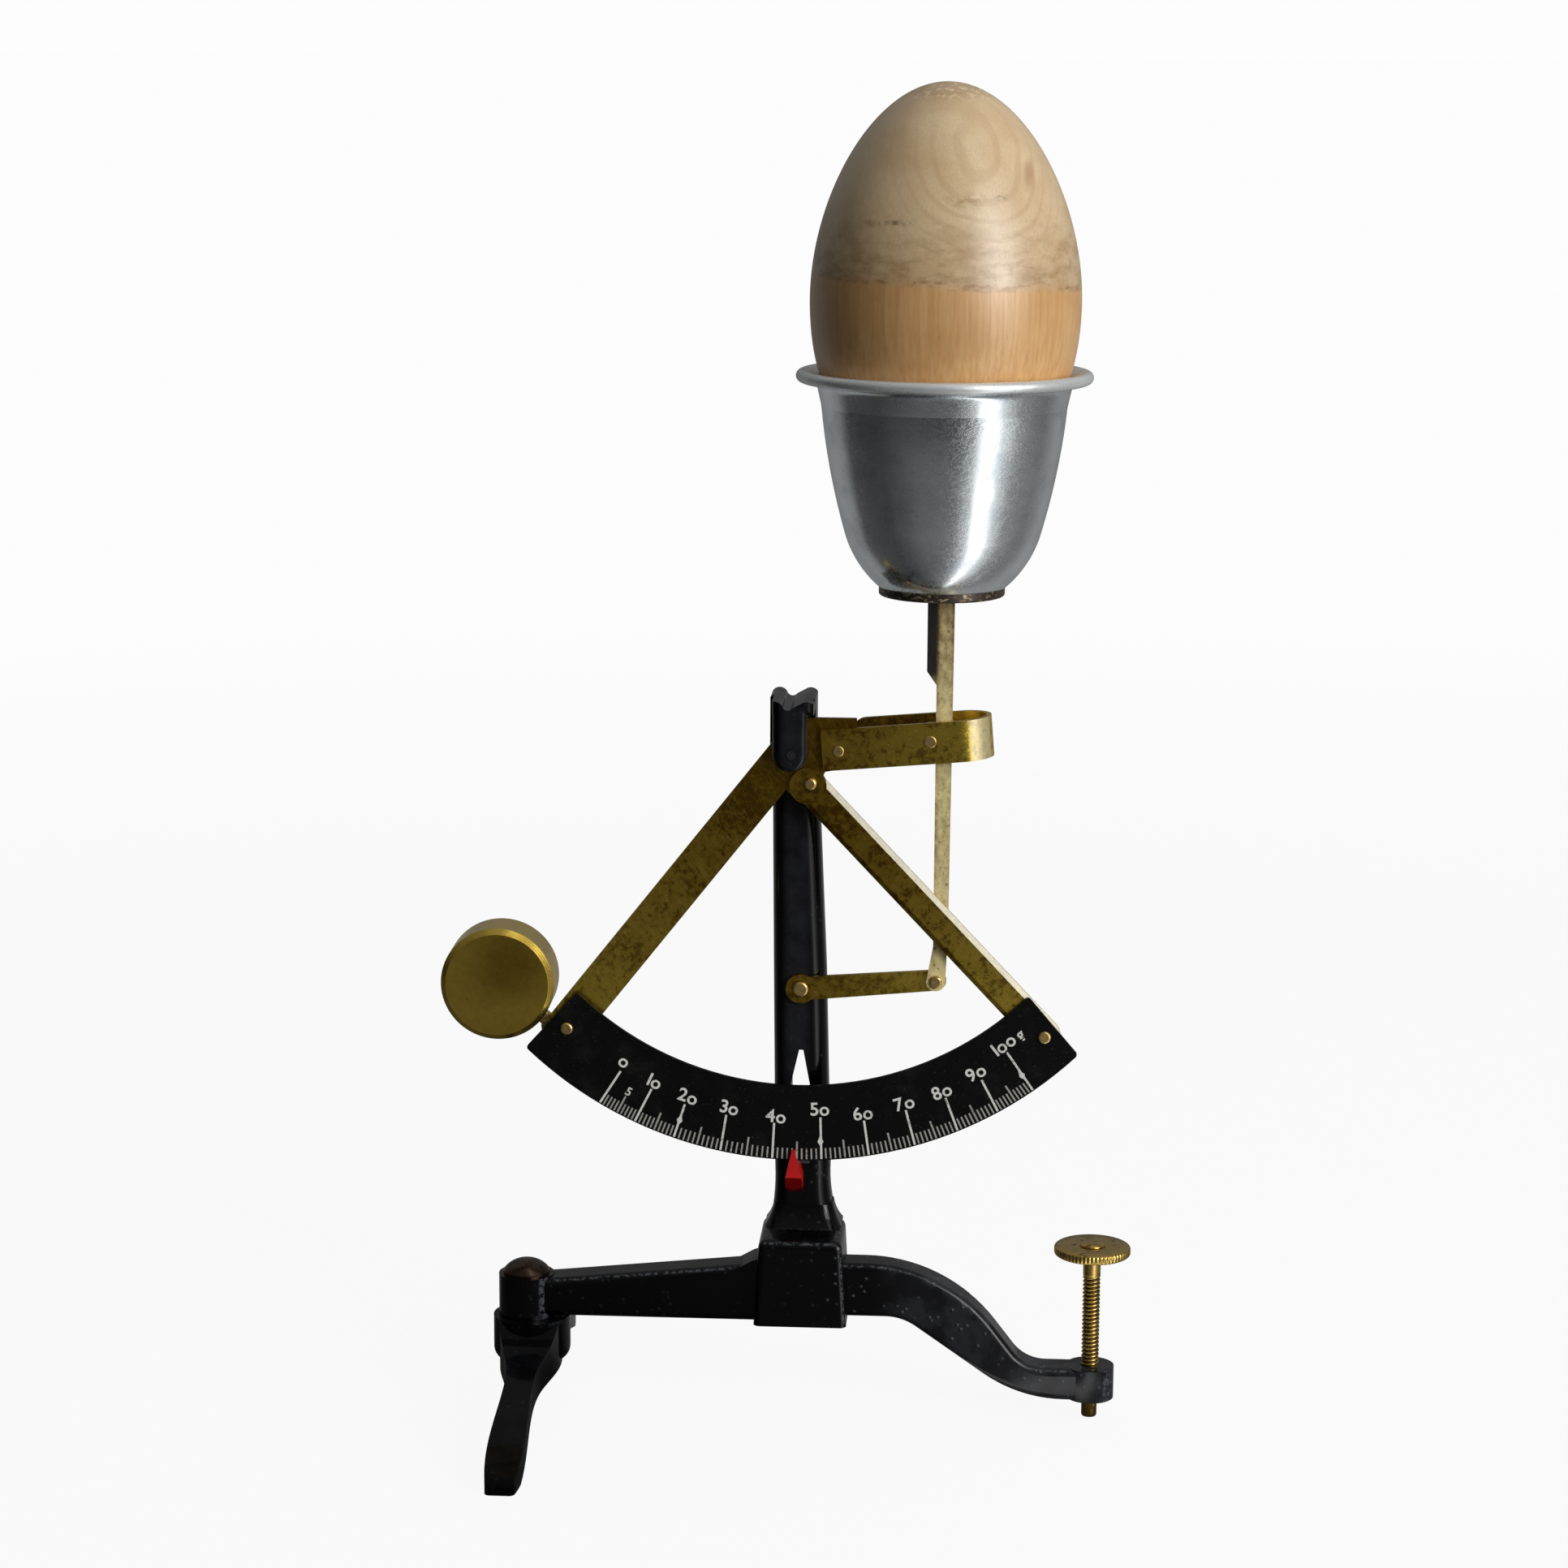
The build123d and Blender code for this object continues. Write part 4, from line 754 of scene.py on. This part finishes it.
levelling_thread(screw)
knurled_wheel(screw)
print_white = dial_print("dial_white", (238, 236, 230), (140, 138, 132))
print_grey = dial_print("dial_grey", (176, 174, 168), (92, 90, 86))
dial_marks(print_white, print_grey)
dial_numerals(print_white)


# Floor, backdrop, light and camera
def light_path(tree):
    """Two values: 1 for what the camera sees itself, 1 for what mirrors and glass show."""
    path = tree.nodes.new("ShaderNodeLightPath")
    camera = Value(tree, path.outputs["Is Camera Ray"])
    mirrored = Value(tree, path.outputs["Is Glossy Ray"]).high(
        Value(tree, path.outputs["Is Transmission Ray"]))
    return camera, mirrored


def room_light(nodes, x, y):
    """What the metal mirrors in a direction (x, y): the window to the right of the front, a
    dark wall to the left, a pale one behind. The stops are directions in degrees from the
    front, right positive, with the brightness there."""
    full = 2.0
    stops = [(-180, 0.16), (-135, 0.22), (-116, 0.2), (-104, 0.03), (-62, 0.02), (-40, 0.06),
             (-20, 0.1), (14, 0.12), (31, 0.4), (40, 1.9), (49, 1.9), (60, 0.6), (76, 0.18),
             (110, 0.12), (138, 0.26), (180, 0.16)]
    turn = x.maths("ARCTAN2", x, -1 * y) / (2 * pi) + 0.5
    ramp = nodes.node("ShaderNodeValToRGB", {"stops": [
        ((angle + 180) / 360, (value / full, value / full, value / full, 1))
        for angle, value in stops
    ]}, {"Fac": turn})
    return full * ramp


def pale_floor():
    """White round floor that fades into the world's white; the metal mirrors the room's light
    from it, less from far in front."""
    reach, rings, spokes, level = 30000, 30, 64, -0.02
    fade_start, fade_end = 300, 900
    white_here, white_gain = 0.92, 0.055
    skin = Finish("pale_floor", Roughness=0.9, Specular_IOR_Level=0.0, Emission_Strength=1.0)
    camera, mirrored = light_path(skin.tree)
    x, y = skin.axis("X") - CUP_AXIS[0], skin.axis("Y")
    near = skin.step(y, -620, -200)
    far = skin.step(x * x + y * y, fade_start ** 2, fade_end ** 2)
    shown = ((white_here + white_gain * far) * camera
             + mirrored * room_light(skin, x, y) * (0.25 + 0.9 * near))
    skin.tree.links.new(shown.socket, skin.shader.inputs["Emission Color"])
    skin.finish(skin.mix(far, (0.05, 0.05, 0.05, 1), (0, 0, 0, 1)))
    radius, turn = np.meshgrid(np.linspace(0, reach, rings),
                               np.linspace(0, 2 * pi, spokes, endpoint=False), indexing="ij")
    points = np.stack([radius * np.cos(turn), radius * np.sin(turn),
                       np.full_like(radius, level)], axis=-1)
    mesh = bpy.data.meshes.new("pale_floor")
    mesh.from_pydata((points.reshape(-1, 3) * MM).tolist(), [], ring_faces(rings, spokes))
    mesh.materials.append(skin.material)
    floor = bpy.data.objects.new("pale_floor", mesh)
    bpy.context.scene.collection.objects.link(floor)


def studio_world():
    """White to the camera; the metal mirrors the room, and soft light comes from the right."""
    world = bpy.data.worlds.new("studio")
    bpy.context.scene.world = world
    world.use_nodes = True
    sky = Nodes(world.node_tree)
    background = sky.tree.nodes["Background"]
    place = sky.node("ShaderNodeTexCoord", out="Generated")
    x, y, z = (sky.node("ShaderNodeSeparateXYZ", None, {"Vector": place}, out=name)
               for name in "XYZ")
    camera, mirrored = light_path(sky.tree)
    room = room_light(sky, x, y) * 0.8 + 0.2 * z.clip()
    fill = (0.2 + 0.34 * x + 0.12 * z + 0.3 * y.clip()).high(0.03)
    strength = camera * 0.98 + mirrored * room + (1 - camera.high(mirrored)) * fill
    background.inputs["Color"].default_value = (1, 1, 1, 1)
    sky.tree.links.new(strength.socket, background.inputs["Strength"])


def soft_lamp(name, place, size, strength):
    """Soft box that faces the object; strength is its brightness, white being 1."""
    aimed_at = Vector((0, 0, 120)) * MM
    lamp = bpy.data.lights.new(name, "AREA")
    lamp.shape = "RECTANGLE"
    lamp.size, lamp.size_y = size[0] * MM, size[1] * MM
    lamp.energy = strength * pi * lamp.size * lamp.size_y
    stand = bpy.data.objects.new(name, lamp)
    stand.location = Vector(place) * MM
    aim = aimed_at - stand.location
    stand.rotation_euler = aim.to_track_quat("-Z", "Y").to_euler()
    bpy.context.scene.collection.objects.link(stand)


def photo_camera():
    """Camera of the photograph: 87.6 mm lens, a little above and to the right of the middle."""
    focal_pixels, photo_pixels, sensor = 4700, 1932, 36
    azimuth, rise, roll = radians(3.426), radians(11.231), radians(0.318)
    place = Vector((35.80, -624.25, 233.9)) * MM
    look = Vector((-sin(azimuth) * cos(rise), cos(azimuth) * cos(rise), -sin(rise)))
    turn = look.to_track_quat("-Z", "Y").to_matrix() @ Matrix.Rotation(roll, 3, "Z")
    camera = bpy.data.cameras.new("photo_camera")
    camera.sensor_width = sensor
    camera.lens = sensor * focal_pixels / photo_pixels
    camera.clip_start, camera.clip_end = 0.01, 50
    stand = bpy.data.objects.new("photo_camera", camera)
    stand.matrix_world = Matrix.Translation(place) @ turn.to_4x4()
    bpy.context.scene.collection.objects.link(stand)
    bpy.context.scene.camera = stand


pale_floor()
studio_world()
soft_lamp("window", (950, -830, 430), (800, 1200), 4.0)
soft_lamp("window_sun", (940, -820, 470), (90, 400), 16.0)
soft_lamp("overhead", (-100, 0, 1300), (800, 800), 0.12)
photo_camera()
bpy.context.scene.view_settings.view_transform = "Standard"
